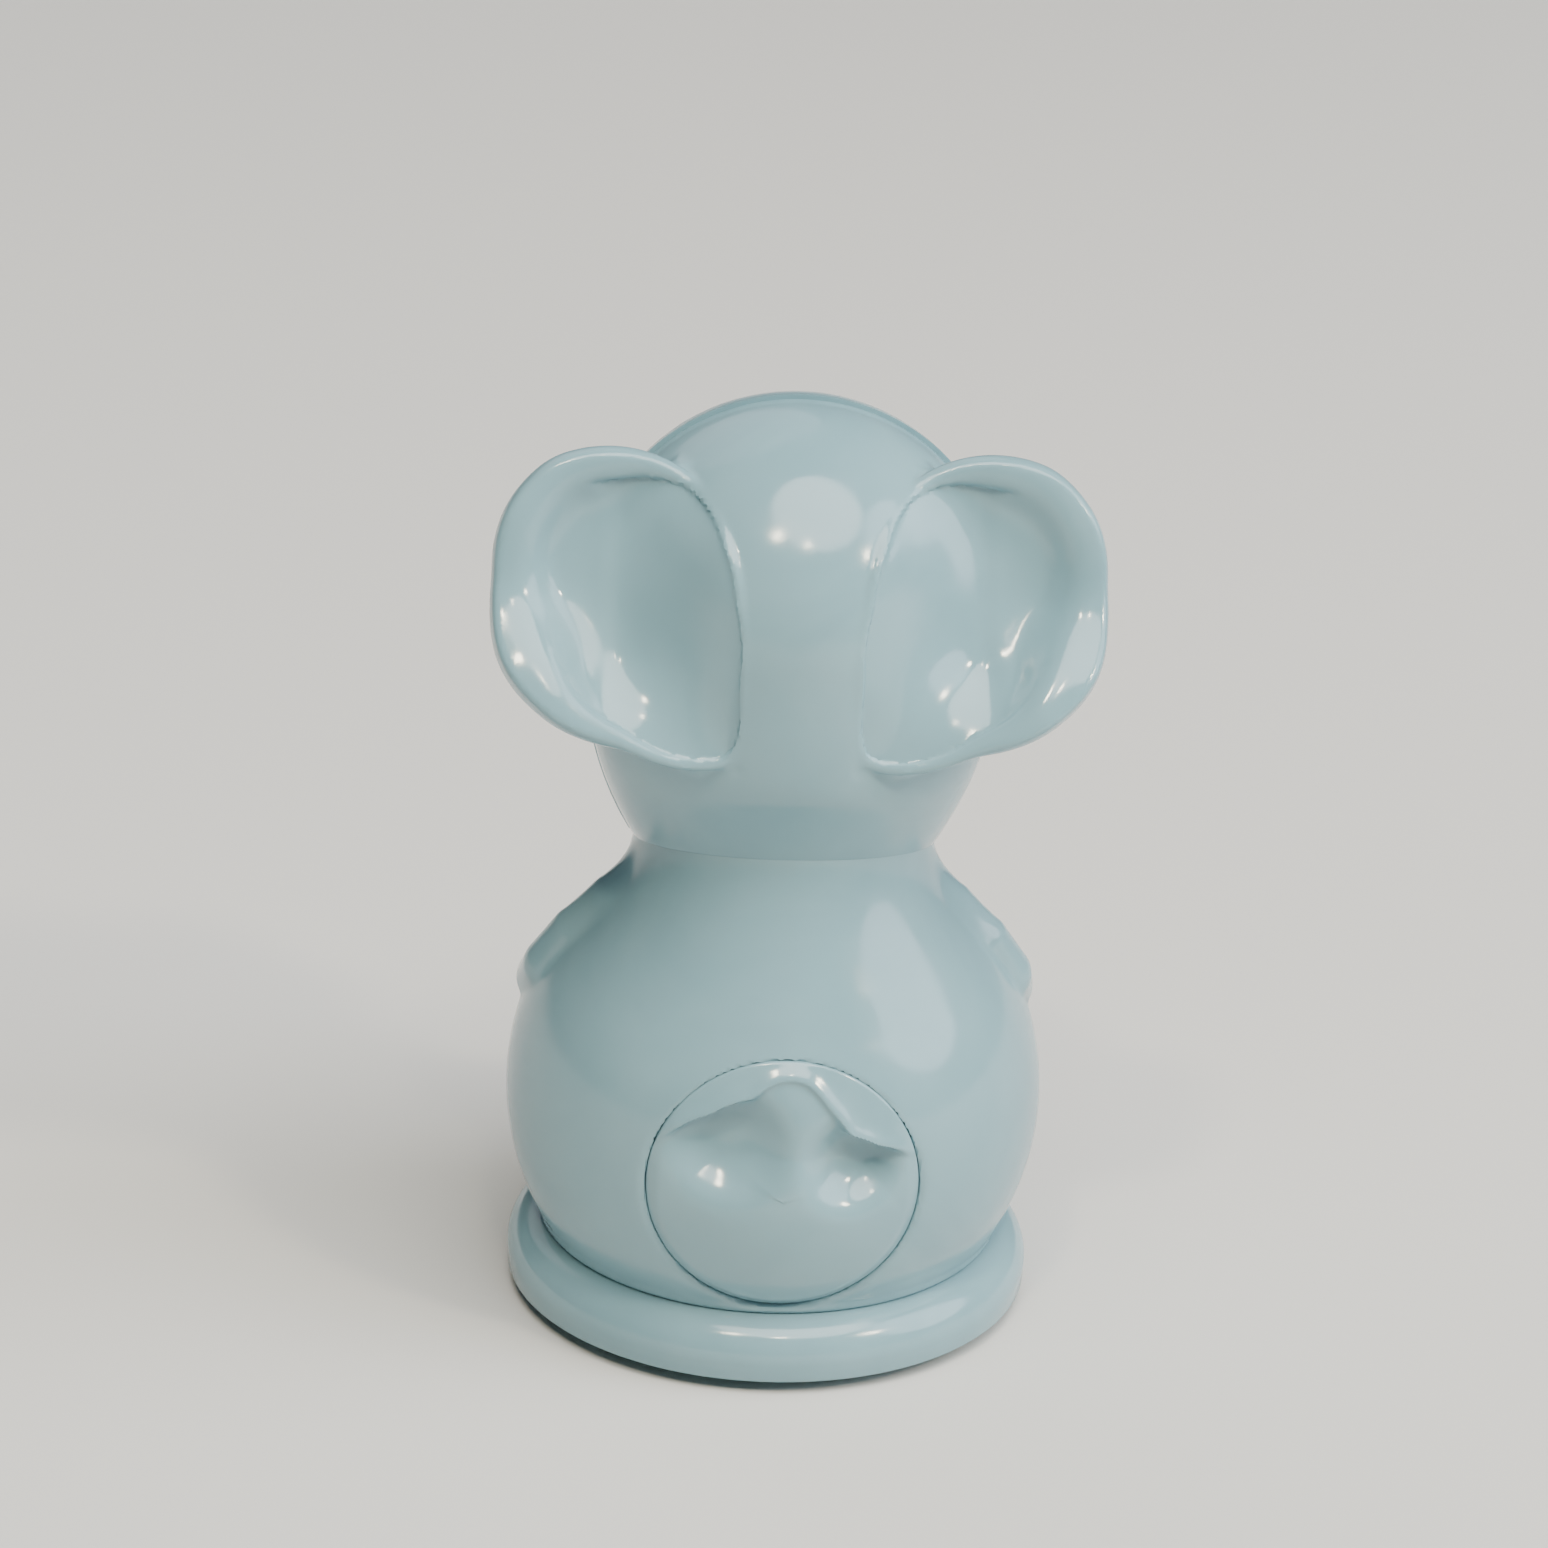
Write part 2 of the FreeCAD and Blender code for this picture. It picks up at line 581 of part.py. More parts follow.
def fly_arbor():
    """The fast shaft that carries the air brake."""
    shaft = rod(thin_arbor_radius, Vec(-10.7, fly_y, fly_z), Vec(9.9, fly_y, fly_z))
    pinion = gear_on_x(fly_pinion_teeth, -10.6, 0.9, fly_y, fly_z,
                       meshing_angle(fly_y, fly_z, fly_pinion_teeth))
    return fused([shaft, pinion])


def fly_vanes():
    """Two flat vanes on a hub that beat the air and hold the speed down."""
    hub = rod(1.3, Vec(-3.2, fly_y, fly_z), Vec(3.2, fly_y, fly_z))
    vane = box(Vec(-3.0, fly_y - 3.6, fly_z - 0.25), Vec(3.0, fly_y + 3.6, fly_z + 0.25))
    return drilled(fused([hub, vane]), thin_arbor_radius, Vec(-5, fly_y, fly_z), Vec(5, fly_y, fly_z))


def roller_parts():
    """The trailing roller and its pin."""
    pin = rod(thin_arbor_radius, Vec(-5.2, roller_y, roller_radius), Vec(5.2, roller_y, roller_radius))
    roller = rod(roller_radius, Vec(-3.1, roller_y, roller_radius), Vec(3.1, roller_y, roller_radius))
    roller = drilled(roller, thin_arbor_radius, Vec(-5, roller_y, roller_radius),
                     Vec(5, roller_y, roller_radius))
    return roller, pin


# ---- face trim ----------------------------------------------------------------------------
def nose():
    """A press-in nose button on the tip of the muzzle."""
    return Part.makeSphere(1.9, Vec(0, -23.2, 47.4)).cut(snout(0))


def eye_line(side):
    """The head's centre and the outward direction of one eye."""
    return Vec(0, 0, head_height), Vec(side * 6.2, -14.2, 2.7).normalize()


def eyes():
    """Two domed eyes whose stems press into the face shell."""
    made = []
    surface = head_radius + face_step
    for side in (-1, 1):
        middle, outward = eye_line(side)
        dome = Part.makeSphere(eye_radius, middle + outward * (surface - 0.4))
        dome = dome.common(Part.makeCylinder(2 * eye_radius, 6, middle + outward * surface, outward))
        stem = rod(eye_stem, middle + outward * (surface - 2.2), middle + outward * (surface + 0.3))
        made.append(fused([dome, stem]))
    return group(made)


def build():
    """Make and export every node."""
    os.makedirs("parts", exist_ok=True)
    left, right = body_shells()
    rear, face = head_shells()
    roller, pin = roller_parts()
    nodes = {
        "body_shell_left": left, "body_shell_right": right, "plinth": plinth(),
        "base_plate": base_plate(), "head_rear_shell": rear, "face_shell": face,
        "neck_sleeve": neck_sleeve(), "winding_knob": knob(), "winding_arbor": winding_arbor(),
        "crown_wheel": crown_wheel(), "ratchet_wheel": ratchet_wheel(), "click": click(),
        "mainspring": mainspring(), "frame_plate_left": side_plate(1),
        "frame_plate_right": side_plate(-1), "frame_pillars": frame_pillars(),
        "middle_bridge": bridge(middle_bridge_y), "rear_bridge": bridge(rear_bridge_y),
        "spring_post": spring_post(), "second_arbor": second_arbor(), "second_wheel": second_wheel(),
        "axle_pinion": axle_pinion(), "drive_axle": drive_axle(), "fly_arbor": fly_arbor(),
        "fly_vanes": fly_vanes(), "trailing_roller": roller, "roller_pin": pin,
        "base_screws": screws(base_screw_places(), 3.2),
        "motor_screws": screws(motor_screw_places(), 2.8),
        "body_screws": screws(body_screw_places(), 2.6, countersunk=False),
        "nose": nose(), "eyes": eyes(),
    }
    for side, name in ((1, "left"), (-1, "right")):
        nodes[f"drive_wheel_{name}"], nodes[f"tyre_{name}"] = wheel_and_tyre(side)
    for name, shape in nodes.items():
        export(name, shape)
        solids = len(shape.Solids)
        print(f"{name:20s} valid={shape.isValid()} solids={solids} volume={shape.Volume:9.2f}")
    whole = group(list(nodes.values())).optimalBoundingBox()
    print(f"box Y middle {(whole.YMin + whole.YMax) / 2 + origin_shift:.4f}, X {whole.XMin:.3f} to "
          f"{whole.XMax:.3f}, Z {whole.ZMin:.3f} to {whole.ZMax:.3f}")


build()
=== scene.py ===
"""Clockwork mouse: gloss mouldings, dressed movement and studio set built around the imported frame."""
import json
import logging
import math
from dataclasses import dataclass, field
from enum import Enum
from typing import Callable, Iterable, Optional, Sequence

import bmesh
import bpy
import numpy as np
from mathutils import Matrix, Vector


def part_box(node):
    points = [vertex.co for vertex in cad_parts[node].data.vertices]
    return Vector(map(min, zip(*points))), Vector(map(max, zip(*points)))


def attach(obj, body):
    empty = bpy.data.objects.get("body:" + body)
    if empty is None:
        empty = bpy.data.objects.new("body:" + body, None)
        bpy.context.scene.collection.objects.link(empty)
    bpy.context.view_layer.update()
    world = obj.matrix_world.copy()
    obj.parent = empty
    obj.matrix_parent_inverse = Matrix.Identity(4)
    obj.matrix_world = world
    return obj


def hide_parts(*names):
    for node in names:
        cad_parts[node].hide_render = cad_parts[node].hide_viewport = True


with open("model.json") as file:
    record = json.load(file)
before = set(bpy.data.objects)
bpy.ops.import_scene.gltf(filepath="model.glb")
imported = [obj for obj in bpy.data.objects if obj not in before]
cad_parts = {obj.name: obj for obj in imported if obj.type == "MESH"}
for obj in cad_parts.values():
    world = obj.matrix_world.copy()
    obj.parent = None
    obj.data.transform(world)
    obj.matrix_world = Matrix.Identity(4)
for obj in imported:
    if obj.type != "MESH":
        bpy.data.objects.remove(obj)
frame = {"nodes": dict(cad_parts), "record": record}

LOG = logging.getLogger("clockwork_mouse")
MM = 0.001
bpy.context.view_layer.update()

BMesh = bmesh.types.BMesh
Tree, Socket = bpy.types.NodeTree, bpy.types.NodeSocket
Array = np.ndarray
Field = Callable[[Array], Array]
PORTION = 200000            # places measured at once, so that they fit in memory
SETTLING_ROUNDS = 5         # times that a moulded surface is moved onto its field
SETTLING_SHARE = 0.8        # share of the way that one round moves it
SETTLING_LIMIT = 0.25       # furthest that one round moves it, in millimetres


class Facing(Enum):
    """Which way a mirrored part lies from the middle plane."""

    LEFT = 1.0
    RIGHT = -1.0


# ---- numbers and fields ----
def smoothstep(low: float, high: float, value: Array) -> Array:
    """Ease from 0 where value is low to 1 where it is high."""
    t = np.clip((value - low) / (high - low), 0.0, 1.0)
    return t * t * (3.0 - 2.0 * t)


def blend_union(first: Array, second: Array, radius: float) -> Array:
    """Join two distance fields with a fillet of a radius in millimetres."""
    h = np.clip(0.5 + 0.5 * (second - first) / radius, 0.0, 1.0)
    return second * (1.0 - h) + first * h - radius * h * (1.0 - h)


def blend_cut(solid: Array, tool: Array, radius: float) -> Array:
    """Take a tool away from a solid and round the edge that is left."""
    return -blend_union(-solid, tool, radius)


def capsule(points: Array, start: Sequence[float], end: Sequence[float],
            radius_start: float, radius_end: float) -> Array:
    """Distances to a rounded bar whose radius changes along its length.

    Args:
        points: where to measure, one row each.
        start: centre of one end.
        end: centre of the other end.
        radius_start: radius at start.
        radius_end: radius at end.

    Returns:
        One distance per point.
    """
    a, b = np.asarray(start), np.asarray(end)
    along = b - a
    t = np.clip((points - a) @ along / (along @ along), 0.0, 1.0)
    nearest = a + t[:, None] * along
    return np.linalg.norm(points - nearest, axis=1) - (radius_start + t * (radius_end - radius_start))


def ball(points: Array, centre: Sequence[float], radius: float) -> Array:
    """Distances to a ball."""
    return np.linalg.norm(points - np.asarray(centre), axis=1) - radius


@dataclass(frozen=True)
class Rounded:
    """A value that changes smoothly round a full turn.

    Attributes:
        table: angles in degrees, in rising order, with the value at each.
        spread: how far the corners of the table are eased, in degrees.
    """

    table: tuple[tuple[float, float], ...]
    spread: int = 7

    def at(self, angle: Array) -> Array:
        """The value at each angle in degrees."""
        turn = np.arange(360.0)
        angles, values = zip(*self.table)
        raw = np.interp(turn, angles, values, period=360)
        weights = np.exp(-(np.arange(-20, 21) / self.spread) ** 2)
        eased = np.convolve(np.tile(raw, 3), weights / weights.sum(), mode="same")[360:720]
        return np.interp(angle, turn, eased, period=360)


class Sheet:
    """A smooth height over a plane that passes through given points."""

    def __init__(self, controls: Sequence[tuple[float, float, float]]) -> None:
        """Fit a thin plate.

        Args:
            controls: places in the plane with the height at each.
        """
        points = np.array(controls)
        self.places = points[:, :2]
        count = len(points)
        flat = np.column_stack([np.ones(count), self.places])
        matrix = np.block([[self.bend(self.places), flat], [flat.T, np.zeros((3, 3))]])
        self.weights = np.linalg.solve(matrix, np.concatenate([points[:, 2], np.zeros(3)]))

    def bend(self, places: Array) -> Array:
        """The plate's bending terms between places and the fitted points."""
        gap2 = ((places[:, None, :] - self.places[None]) ** 2).sum(axis=2)
        return 0.5 * gap2 * np.log(np.maximum(gap2, 1e-12))

    def height(self, a: Array, b: Array) -> Array:
        """The fitted height at each place."""
        places = np.column_stack([a, b])
        return self.bend(places) @ self.weights[:-3] + self.weights[-3] + places @ self.weights[-2:]


# ---- places shared by the mouldings ----
@dataclass(frozen=True)
class Figure:
    """Main places and sizes in millimetres, read from the frame.

    Attributes:
        axis_y: where the upright axis of the body stands.
        body_z: height of the middle of the round body.
        body_radius: radius of the round body.
        neck_z: height where the head meets the body.
        seam_y: where the two head shells meet, from the axis.
        plinth_radius: radius of the plinth's foot.
        plinth_low: height of the plinth's rim.
        plinth_top: height of its top face.
        knob_radius: radius of the winding knob.
        neck_radius: radius where the head meets the body.
        head_z: height of the middle of the dome.
        head_radius: radius of the rear half of the head.
        face_step: how far the face shell stands proud of the rear shell.
        shoulder_z: height where the round body gives way to the neck.
        neck_slope: how much the joint between head and body rises towards the back.
        wall: thickness of the mouldings.
        lean_depth: how far below the shoulder the neck's lean begins.
        lean_chest: how much lower it begins at the front.
        lean_head_span: heights over the neck between which the head's lean fades.
    """

    axis_y: float
    body_z: float
    body_radius: float
    neck_z: float
    seam_y: float
    plinth_radius: float
    plinth_low: float
    plinth_top: float
    knob_radius: float
    neck_radius: float = 11.1
    head_z: float = 54.4
    head_radius: float = 14.9
    face_step: float = 0.35
    shoulder_z: float = 30.1
    neck_slope: float = 0.25
    wall: float = 1.3
    lean_depth: float = 3.6
    lean_chest: float = 8.0
    lean_head_span: tuple[float, float] = (1.0, 11.0)

    @classmethod
    def from_frame(cls) -> "Figure":
        """Read every place from the boxes of the frame's nodes.

        Returns:
            The figure's measurements in millimetres.
        """
        nodes = ("plinth", "body_shell_left", "winding_knob", "face_shell")
        plinth, body, knob, face = ([Vector(corner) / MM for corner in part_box(node)] for node in nodes)
        axis_y = (plinth[0].y + plinth[1].y) / 2
        return cls(axis_y=axis_y, body_z=(knob[0].z + knob[1].z) / 2, body_radius=axis_y - body[0].y,
                   neck_z=body[1].z, seam_y=face[1].y - axis_y, plinth_radius=plinth[1].x,
                   plinth_low=plinth[0].z, plinth_top=plinth[1].z, knob_radius=knob[1].x)

    def lean_body(self, points: Array) -> Array:
        """Raise the back of the neck and lower its front, for places on the body."""
        start = self.shoulder_z - self.lean_depth - self.lean_chest * smoothstep(0.0, 9.0, -points[:, 1])
        share = smoothstep(start, self.neck_z, points[:, 2])
        return points + np.outer(self.neck_slope * points[:, 1] * share, (0, 0, 1))

    def lean_head(self, points: Array) -> Array:
        """Raise the back of the neck and lower its front, for places on the head."""
        low, high = self.lean_head_span
        share = 1 - smoothstep(self.neck_z + low, self.neck_z + high, points[:, 2])
        return points + np.outer(self.neck_slope * points[:, 1] * share, (0, 0, 1))


# ---- mesh helpers ----
def spun(profile: Sequence[tuple[float, float]], steps: int, about_y: bool = False,
         closed: bool = True) -> BMesh:
    """Spin an outline of (radius, height) points into a solid of revolution.

    Args:
        profile: outline points in millimetres; the height runs along the axis.
        steps: divisions round the circle.
        about_y: spin about the Y axis instead of Z.
        closed: join the last point back to the first.

    Returns:
        A bmesh with its faces pointing outwards.
    """
    bm = bmesh.new()
    verts = [bm.verts.new((r, 0.0, h)) for r, h in profile]
    edges = [bm.edges.new(pair) for pair in zip(verts, verts[1:])]
    if closed:
        edges.append(bm.edges.new((verts[-1], verts[0])))
    bmesh.ops.spin(bm, geom=verts + edges, cent=(0, 0, 0), axis=(0, 0, 1), angle=2 * math.pi,
                   steps=steps, use_merge=True)
    bmesh.ops.remove_doubles(bm, verts=bm.verts, dist=1e-4)
    if about_y:
        bmesh.ops.rotate(bm, verts=bm.verts, cent=(0, 0, 0), matrix=Matrix.Rotation(-math.pi / 2, 3, "X"))
    bmesh.ops.recalc_face_normals(bm, faces=bm.faces)
    return bm


def arc(centre: tuple[float, float], radius: float, start: float, end: float,
        steps: int) -> list[tuple[float, float]]:
    """Points along an arc about (radius, height), both ends included, with angles in degrees."""
    angles = [math.radians(start + (end - start) * i / steps) for i in range(steps + 1)]
    return [(centre[0] + radius * math.cos(a), centre[1] + radius * math.sin(a)) for a in angles]


def coordinates(bm: BMesh) -> Array:
    """All vertex places as one array."""
    return np.array([v.co[:] for v in bm.verts])


def place(bm: BMesh, points: Array) -> None:
    """Write vertex places back."""
    for vert, point in zip(bm.verts, points):
        vert.co = point


def to_object(bm: BMesh, name: str, axis_y: float = 0.0) -> bpy.types.Object:
    """Turn a bmesh drawn in millimetres about its own axis into an object in metres.

    Args:
        bm: the mesh, which is freed.
        name: name of the new object.
        axis_y: where its axis stands, in millimetres.

    Returns:
        The linked object.
    """
    bmesh.ops.translate(bm, verts=bm.verts, vec=(0, axis_y, 0))
    bmesh.ops.scale(bm, verts=bm.verts, vec=(MM, MM, MM))
    mesh = bpy.data.meshes.new(name)
    bm.to_mesh(mesh)
    bm.free()
    obj = bpy.data.objects.new(name, mesh)
    bpy.context.scene.collection.objects.link(obj)
    return obj


def to_bmesh(obj: bpy.types.Object) -> BMesh:
    """Read an object's mesh back as a bmesh in millimetres and delete the object."""
    bm = bmesh.new()
    bm.from_mesh(obj.data)
    bmesh.ops.scale(bm, verts=bm.verts, vec=(1 / MM, 1 / MM, 1 / MM))
    bpy.data.objects.remove(obj, do_unlink=True)
    return bm


def boolean(bm: BMesh, tool: BMesh) -> BMesh:
    """Take one closed mesh away from another.

    Args:
        bm: the solid that is kept.
        tool: the solid that is taken away.

    Returns:
        A new bmesh; both inputs are freed.
    """
    base, cutter = to_object(bm, "base"), to_object(tool, "cutter")
    modifier = base.modifiers.new("boolean", "BOOLEAN")
    modifier.object, modifier.operation, modifier.solver = cutter, "DIFFERENCE", "EXACT"
    graph = bpy.context.evaluated_depsgraph_get()
    base.data = bpy.data.meshes.new_from_object(base.evaluated_get(graph))
    base.modifiers.clear()
    bpy.data.objects.remove(cutter, do_unlink=True)
    return to_bmesh(base)


def block(low: Sequence[float], high: Sequence[float]) -> BMesh:
    """A box between two corners."""
    bm = bmesh.new()
    size = [h - l for l, h in zip(low, high)]
    middle = Vector([(l + h) / 2 for l, h in zip(low, high)])
    bmesh.ops.create_cube(bm, size=1.0, matrix=Matrix.Translation(middle) @ Matrix.Diagonal((*size, 1.0)))
    return bm


def slope(distance: Field, points: Array, reach: float = 0.02) -> Array:
    """The direction in which a field grows, by differences.

    Args:
        distance: the field.
        points: where to measure.
        reach: half the step, in millimetres.

    Returns:
        One vector per point.
    """
    steps = np.eye(3) * reach
    rises = [distance(points + step) - distance(points - step) for step in steps]
    return np.stack(rises, axis=1) / (2 * reach)


def sampled(distance: Field, points: Array) -> Array:
    """Measure a field in portions that fit in memory."""
    parts = np.array_split(points, max(1, len(points) // PORTION))
    return np.concatenate([distance(part) for part in parts])


def moulded(distance: Field, low: Sequence[float], high: Sequence[float], step: float) -> BMesh:
    """Make the closed surface where a field is zero.

    The field is measured on a grid. Each cell that the surface crosses gets one vertex in the middle
    of its crossings, each grid edge that it crosses gets one four-sided face, and the vertices are
    then moved along the field's slope onto the surface itself.

    Args:
        distance: the field, negative inside.
        low: lowest corner of the grid.
        high: highest corner of the grid.
        step: spacing of the grid, in millimetres.

    Returns:
        The closed mesh, faces outwards.
    """
    axes = [np.arange(a, b + step, step) for a, b in zip(low, high)]
    shape = [len(axis) for axis in axes]
    nodes = np.stack(np.meshgrid(*axes, indexing="ij"), axis=-1)
    values = sampled(distance, nodes.reshape(-1, 3)).reshape(shape)
    cells = tuple(n - 1 for n in shape)
    total, count = np.zeros(cells + (3,)), np.zeros(cells)
    windows = [slice(0, -1), slice(1, None)]
    for axis in range(3):
        for first in (0, 1):
            for second in (0, 1):
                pick = [windows[first], windows[second]]
                pick.insert(axis, windows[0])
                ends = list(pick)
                ends[axis] = windows[1]
                v0, v1 = values[tuple(pick)], values[tuple(ends)]
                crossed = (v0 < 0) != (v1 < 0)
                share = np.where(crossed, v0 / np.where(crossed, v0 - v1, 1.0), 0.0)[..., None]
                p0, p1 = nodes[tuple(pick)], nodes[tuple(ends)]
                total += np.where(crossed[..., None], p0 + share * (p1 - p0), 0.0)
                count += crossed
    used = count > 0
    index = np.full(cells, -1)
    index[used] = np.arange(int(used.sum()))
    points = total[used] / count[used][:, None]
    faces = []
    for axis in range(3):
        u, w = (axis + 1) % 3, (axis + 2) % 3
        start = [slice(1, -1)] * 3
        start[axis] = slice(0, -1)
        end = list(start)
        end[axis] = slice(1, None)
        v0, v1 = values[tuple(start)] < 0, values[tuple(end)] < 0
        ring = []
        for du, dw in ((-1, -1), (0, -1), (0, 0), (-1, 0)):
            pick = [slice(None)] * 3
            pick[axis] = slice(0, cells[axis])
            pick[u] = slice(1 + du, cells[u] + du)
            pick[w] = slice(1 + dw, cells[w] + dw)
            ring.append(index[tuple(pick)])
        quads = np.stack(ring, axis=-1)
        faces.append(quads[v0 & ~v1])
        faces.append(quads[~v0 & v1][:, ::-1])
    for _ in range(SETTLING_ROUNDS):
        grow = slope(lambda places: sampled(distance, places), points)
        steepness = np.maximum((grow ** 2).sum(axis=1), 0.2)
        move = np.clip(sampled(distance, points) / steepness, -SETTLING_LIMIT, SETTLING_LIMIT)
        points = points - SETTLING_SHARE * move[:, None] * grow
    mesh = bpy.data.meshes.new("moulded")
    mesh.from_pydata(points.tolist(), [], np.concatenate(faces).tolist())
    bm = bmesh.new()
    bm.from_mesh(mesh)
    bpy.data.meshes.remove(mesh)
    bmesh.ops.recalc_face_normals(bm, faces=bm.faces)
    return bm


def sliced(bm: BMesh, point: Sequence[float], normal: Sequence[float]) -> None:
    """Cut off what lies beyond a plane, on the side that the normal points to."""
    geometry = bm.verts[:] + bm.edges[:] + bm.faces[:]
    bmesh.ops.bisect_plane(bm, geom=geometry, dist=1e-5, plane_co=point, plane_no=normal, clear_outer=True)


def rims(bm: BMesh) -> list[bmesh.types.BMEdge]:
    """The open border edges."""
    return [edge for edge in bm.edges if edge.is_boundary]


def merged(bodies: Iterable[BMesh]) -> BMesh:
    """Put several meshes in one."""
    whole = bmesh.new()
    for bm in bodies:
        part = bpy.data.meshes.new("part")
        bm.to_mesh(part)
        bm.free()
        whole.from_mesh(part)
        bpy.data.meshes.remove(part)
    return whole


# ---- finishes ----
def linear(hex_colour: str) -> tuple[float, float, float, float]:
    """Turn an sRGB hex colour into linear values.

    Args:
        hex_colour: six hex digits, with or without a leading hash.

    Returns:
        Red, green, blue and alpha.
    """
    digits = hex_colour.lstrip("#")
    values = [int(digits[i:i + 2], 16) / 255 for i in (0, 2, 4)]
    return (*[v / 12.92 if v <= 0.04045 else ((v + 0.055) / 1.055) ** 2.4 for v in values], 1.0)


def add_node(tree: Tree, kind: str, settings: Optional[dict] = None,
             links: Optional[dict] = None) -> bpy.types.Node:
    """Add a shader node with its settings and what feeds it.

    Args:
        tree: the material's node tree.
        kind: the node's type name.
        settings: property names, or input names for numbers and colours.
        links: input names and the output sockets that feed them.

    Returns:
        The new node.
    """
    node = tree.nodes.new(kind)
    for key, value in (settings or {}).items():
        if isinstance(key, str) and hasattr(node, key):
            setattr(node, key, value)
        else:
            node.inputs[key].default_value = value
    for key, source in (links or {}).items():
        tree.links.new(source, node.inputs[key])
    return node


def ramp(tree: Tree, source: Socket,
         stops: Sequence[tuple[float, tuple[float, float, float, float]]]) -> bpy.types.Node:
    """A colour ramp with the given stops."""
    node = add_node(tree, "ShaderNodeValToRGB", links={"Fac": source})
    elements = node.color_ramp.elements
    while len(elements) < len(stops):
        elements.new(0.5)
    for element, (position, colour) in zip(elements, stops):
        element.position, element.color = position, colour
    return node


@dataclass(frozen=True)
class Finish:
    """What every finish has: a name and a way to make its material."""

    name: str

    def material(self) -> bpy.types.Material:
        """Make the material.

        Returns:
            The finished material.
        """
        material = bpy.data.materials.new(self.name)
        material.use_nodes = True
        tree = material.node_tree
        tree.nodes.clear()
        shader = add_node(tree, "ShaderNodeBsdfPrincipled")
        add_node(tree, "ShaderNodeOutputMaterial", links={"Surface": shader.outputs["BSDF"]})
        coords = add_node(tree, "ShaderNodeTexCoord")
        self.dress(tree, shader, coords.outputs["Object"])
        return material

    def dress(self, tree: Tree, shader: bpy.types.Node, coords: Socket) -> None:
        """Feed the shader from the object coordinates, which are in metres."""
        raise NotImplementedError

    def noise(self, tree: Tree, coords: Socket, size_mm: float,
              detail: float, **settings: float) -> Socket:
        """Add a noise whose features are about size_mm across.

        Args:
            tree: the material's node tree.
            coords: where the noise is read.
            size_mm: size of its features.
            detail: how many finer layers it has.
            **settings: other inputs of the noise.

        Returns:
            The noise's value.
        """
        numbers = {"Scale": 1 / (size_mm * MM), "Detail": detail, **settings}
        return add_node(tree, "ShaderNodeTexNoise", numbers, {"Vector": coords}).outputs["Fac"]

    def tint(self, tree: Tree, shader: bpy.types.Node, source: Socket,
             low: tuple[float, str], high: tuple[float, str]) -> None:
        """Colour the shader between two stops of (value, sRGB colour)."""
        stops = [(value, linear(colour)) for value, colour in (low, high)]
        tree.links.new(ramp(tree, source, stops).outputs["Color"], shader.inputs["Base Color"])

    def dull(self, tree: Tree, shader: bpy.types.Node, source: Socket,
             between: tuple[float, float], roughness: tuple[float, float]) -> None:
        """Set the shader's roughness from a value that runs between two limits."""
        limits = {"From Min": between[0], "From Max": between[1],
                  "To Min": roughness[0], "To Max": roughness[1]}
        result = add_node(tree, "ShaderNodeMapRange", limits, {"Value": source}).outputs["Result"]
        tree.links.new(result, shader.inputs["Roughness"])

    def bump(self, tree: Tree, source: Socket, height_mm: float,
             strength: float = 1.0, under: Optional[Socket] = None) -> Socket:
        """Add a bump of a height in millimetres over an earlier one."""
        links = {"Height": source} if under is None else {"Height": source, "Normal": under}
        numbers = {"Strength": strength, "Distance": height_mm * MM}
        return add_node(tree, "ShaderNodeBump", numbers, links).outputs["Normal"]


@dataclass(frozen=True)
class MouldedPlastic(Finish):
    """Injection moulded ABS: even colour, a faint flow mottle and, where polished, a wet gloss.

    Attributes:
        deep: colour where the pigment lies thicker.
        pale: colour where it lies thinner.
        roughness: lowest and highest surface roughness.
        flow_mm: size of the flow mottle.
        sink_mm: size of the slow waves that cooling leaves.
        sink_height_mm: height of those waves.
        grain_mm: size of the fine mould grain.
        grain_height_mm: its height.
        soft: share of light that scatters under the skin.
        clear_coat: weight of a second, sharper reflection.
    """

    deep: str
    pale: str
    roughness: tuple[float, float] = (0.10, 0.20)
    flow_mm: float = 14.0
    sink_mm: float = 9.0
    sink_height_mm: float = 0.035
    grain_mm: float = 0.5
    grain_height_mm: float = 0.002
    soft: float = 0.12
    clear_coat: float = 0.0

    def dress(self, tree: Tree, shader: bpy.types.Node, coords: Socket) -> None:
        """Feed the shader as plastic."""
        flow = self.noise(tree, coords, self.flow_mm, 3.0, Roughness=0.5, Distortion=0.8)
        self.tint(tree, shader, flow, (0.3, self.deep), (0.7, self.pale))
        smear = self.noise(tree, coords, self.sink_mm * 0.4, 5.0)
        self.dull(tree, shader, smear, (0.35, 0.75), self.roughness)
        sink = self.noise(tree, coords, self.sink_mm, 1.0)
        grain = self.noise(tree, coords, self.grain_mm, 2.0)
        slow = self.bump(tree, sink, self.sink_height_mm)
        fine = self.bump(tree, grain, self.grain_height_mm, under=slow)
        tree.links.new(fine, shader.inputs["Normal"])
        constants = {"IOR": 1.53, "Subsurface Weight": self.soft, "Subsurface Radius": (1.0, 1.0, 1.0),
                     "Subsurface Scale": 0.8 * MM, "Coat Weight": self.clear_coat, "Coat Roughness": 0.06}
        for name, value in constants.items():
            shader.inputs[name].default_value = value


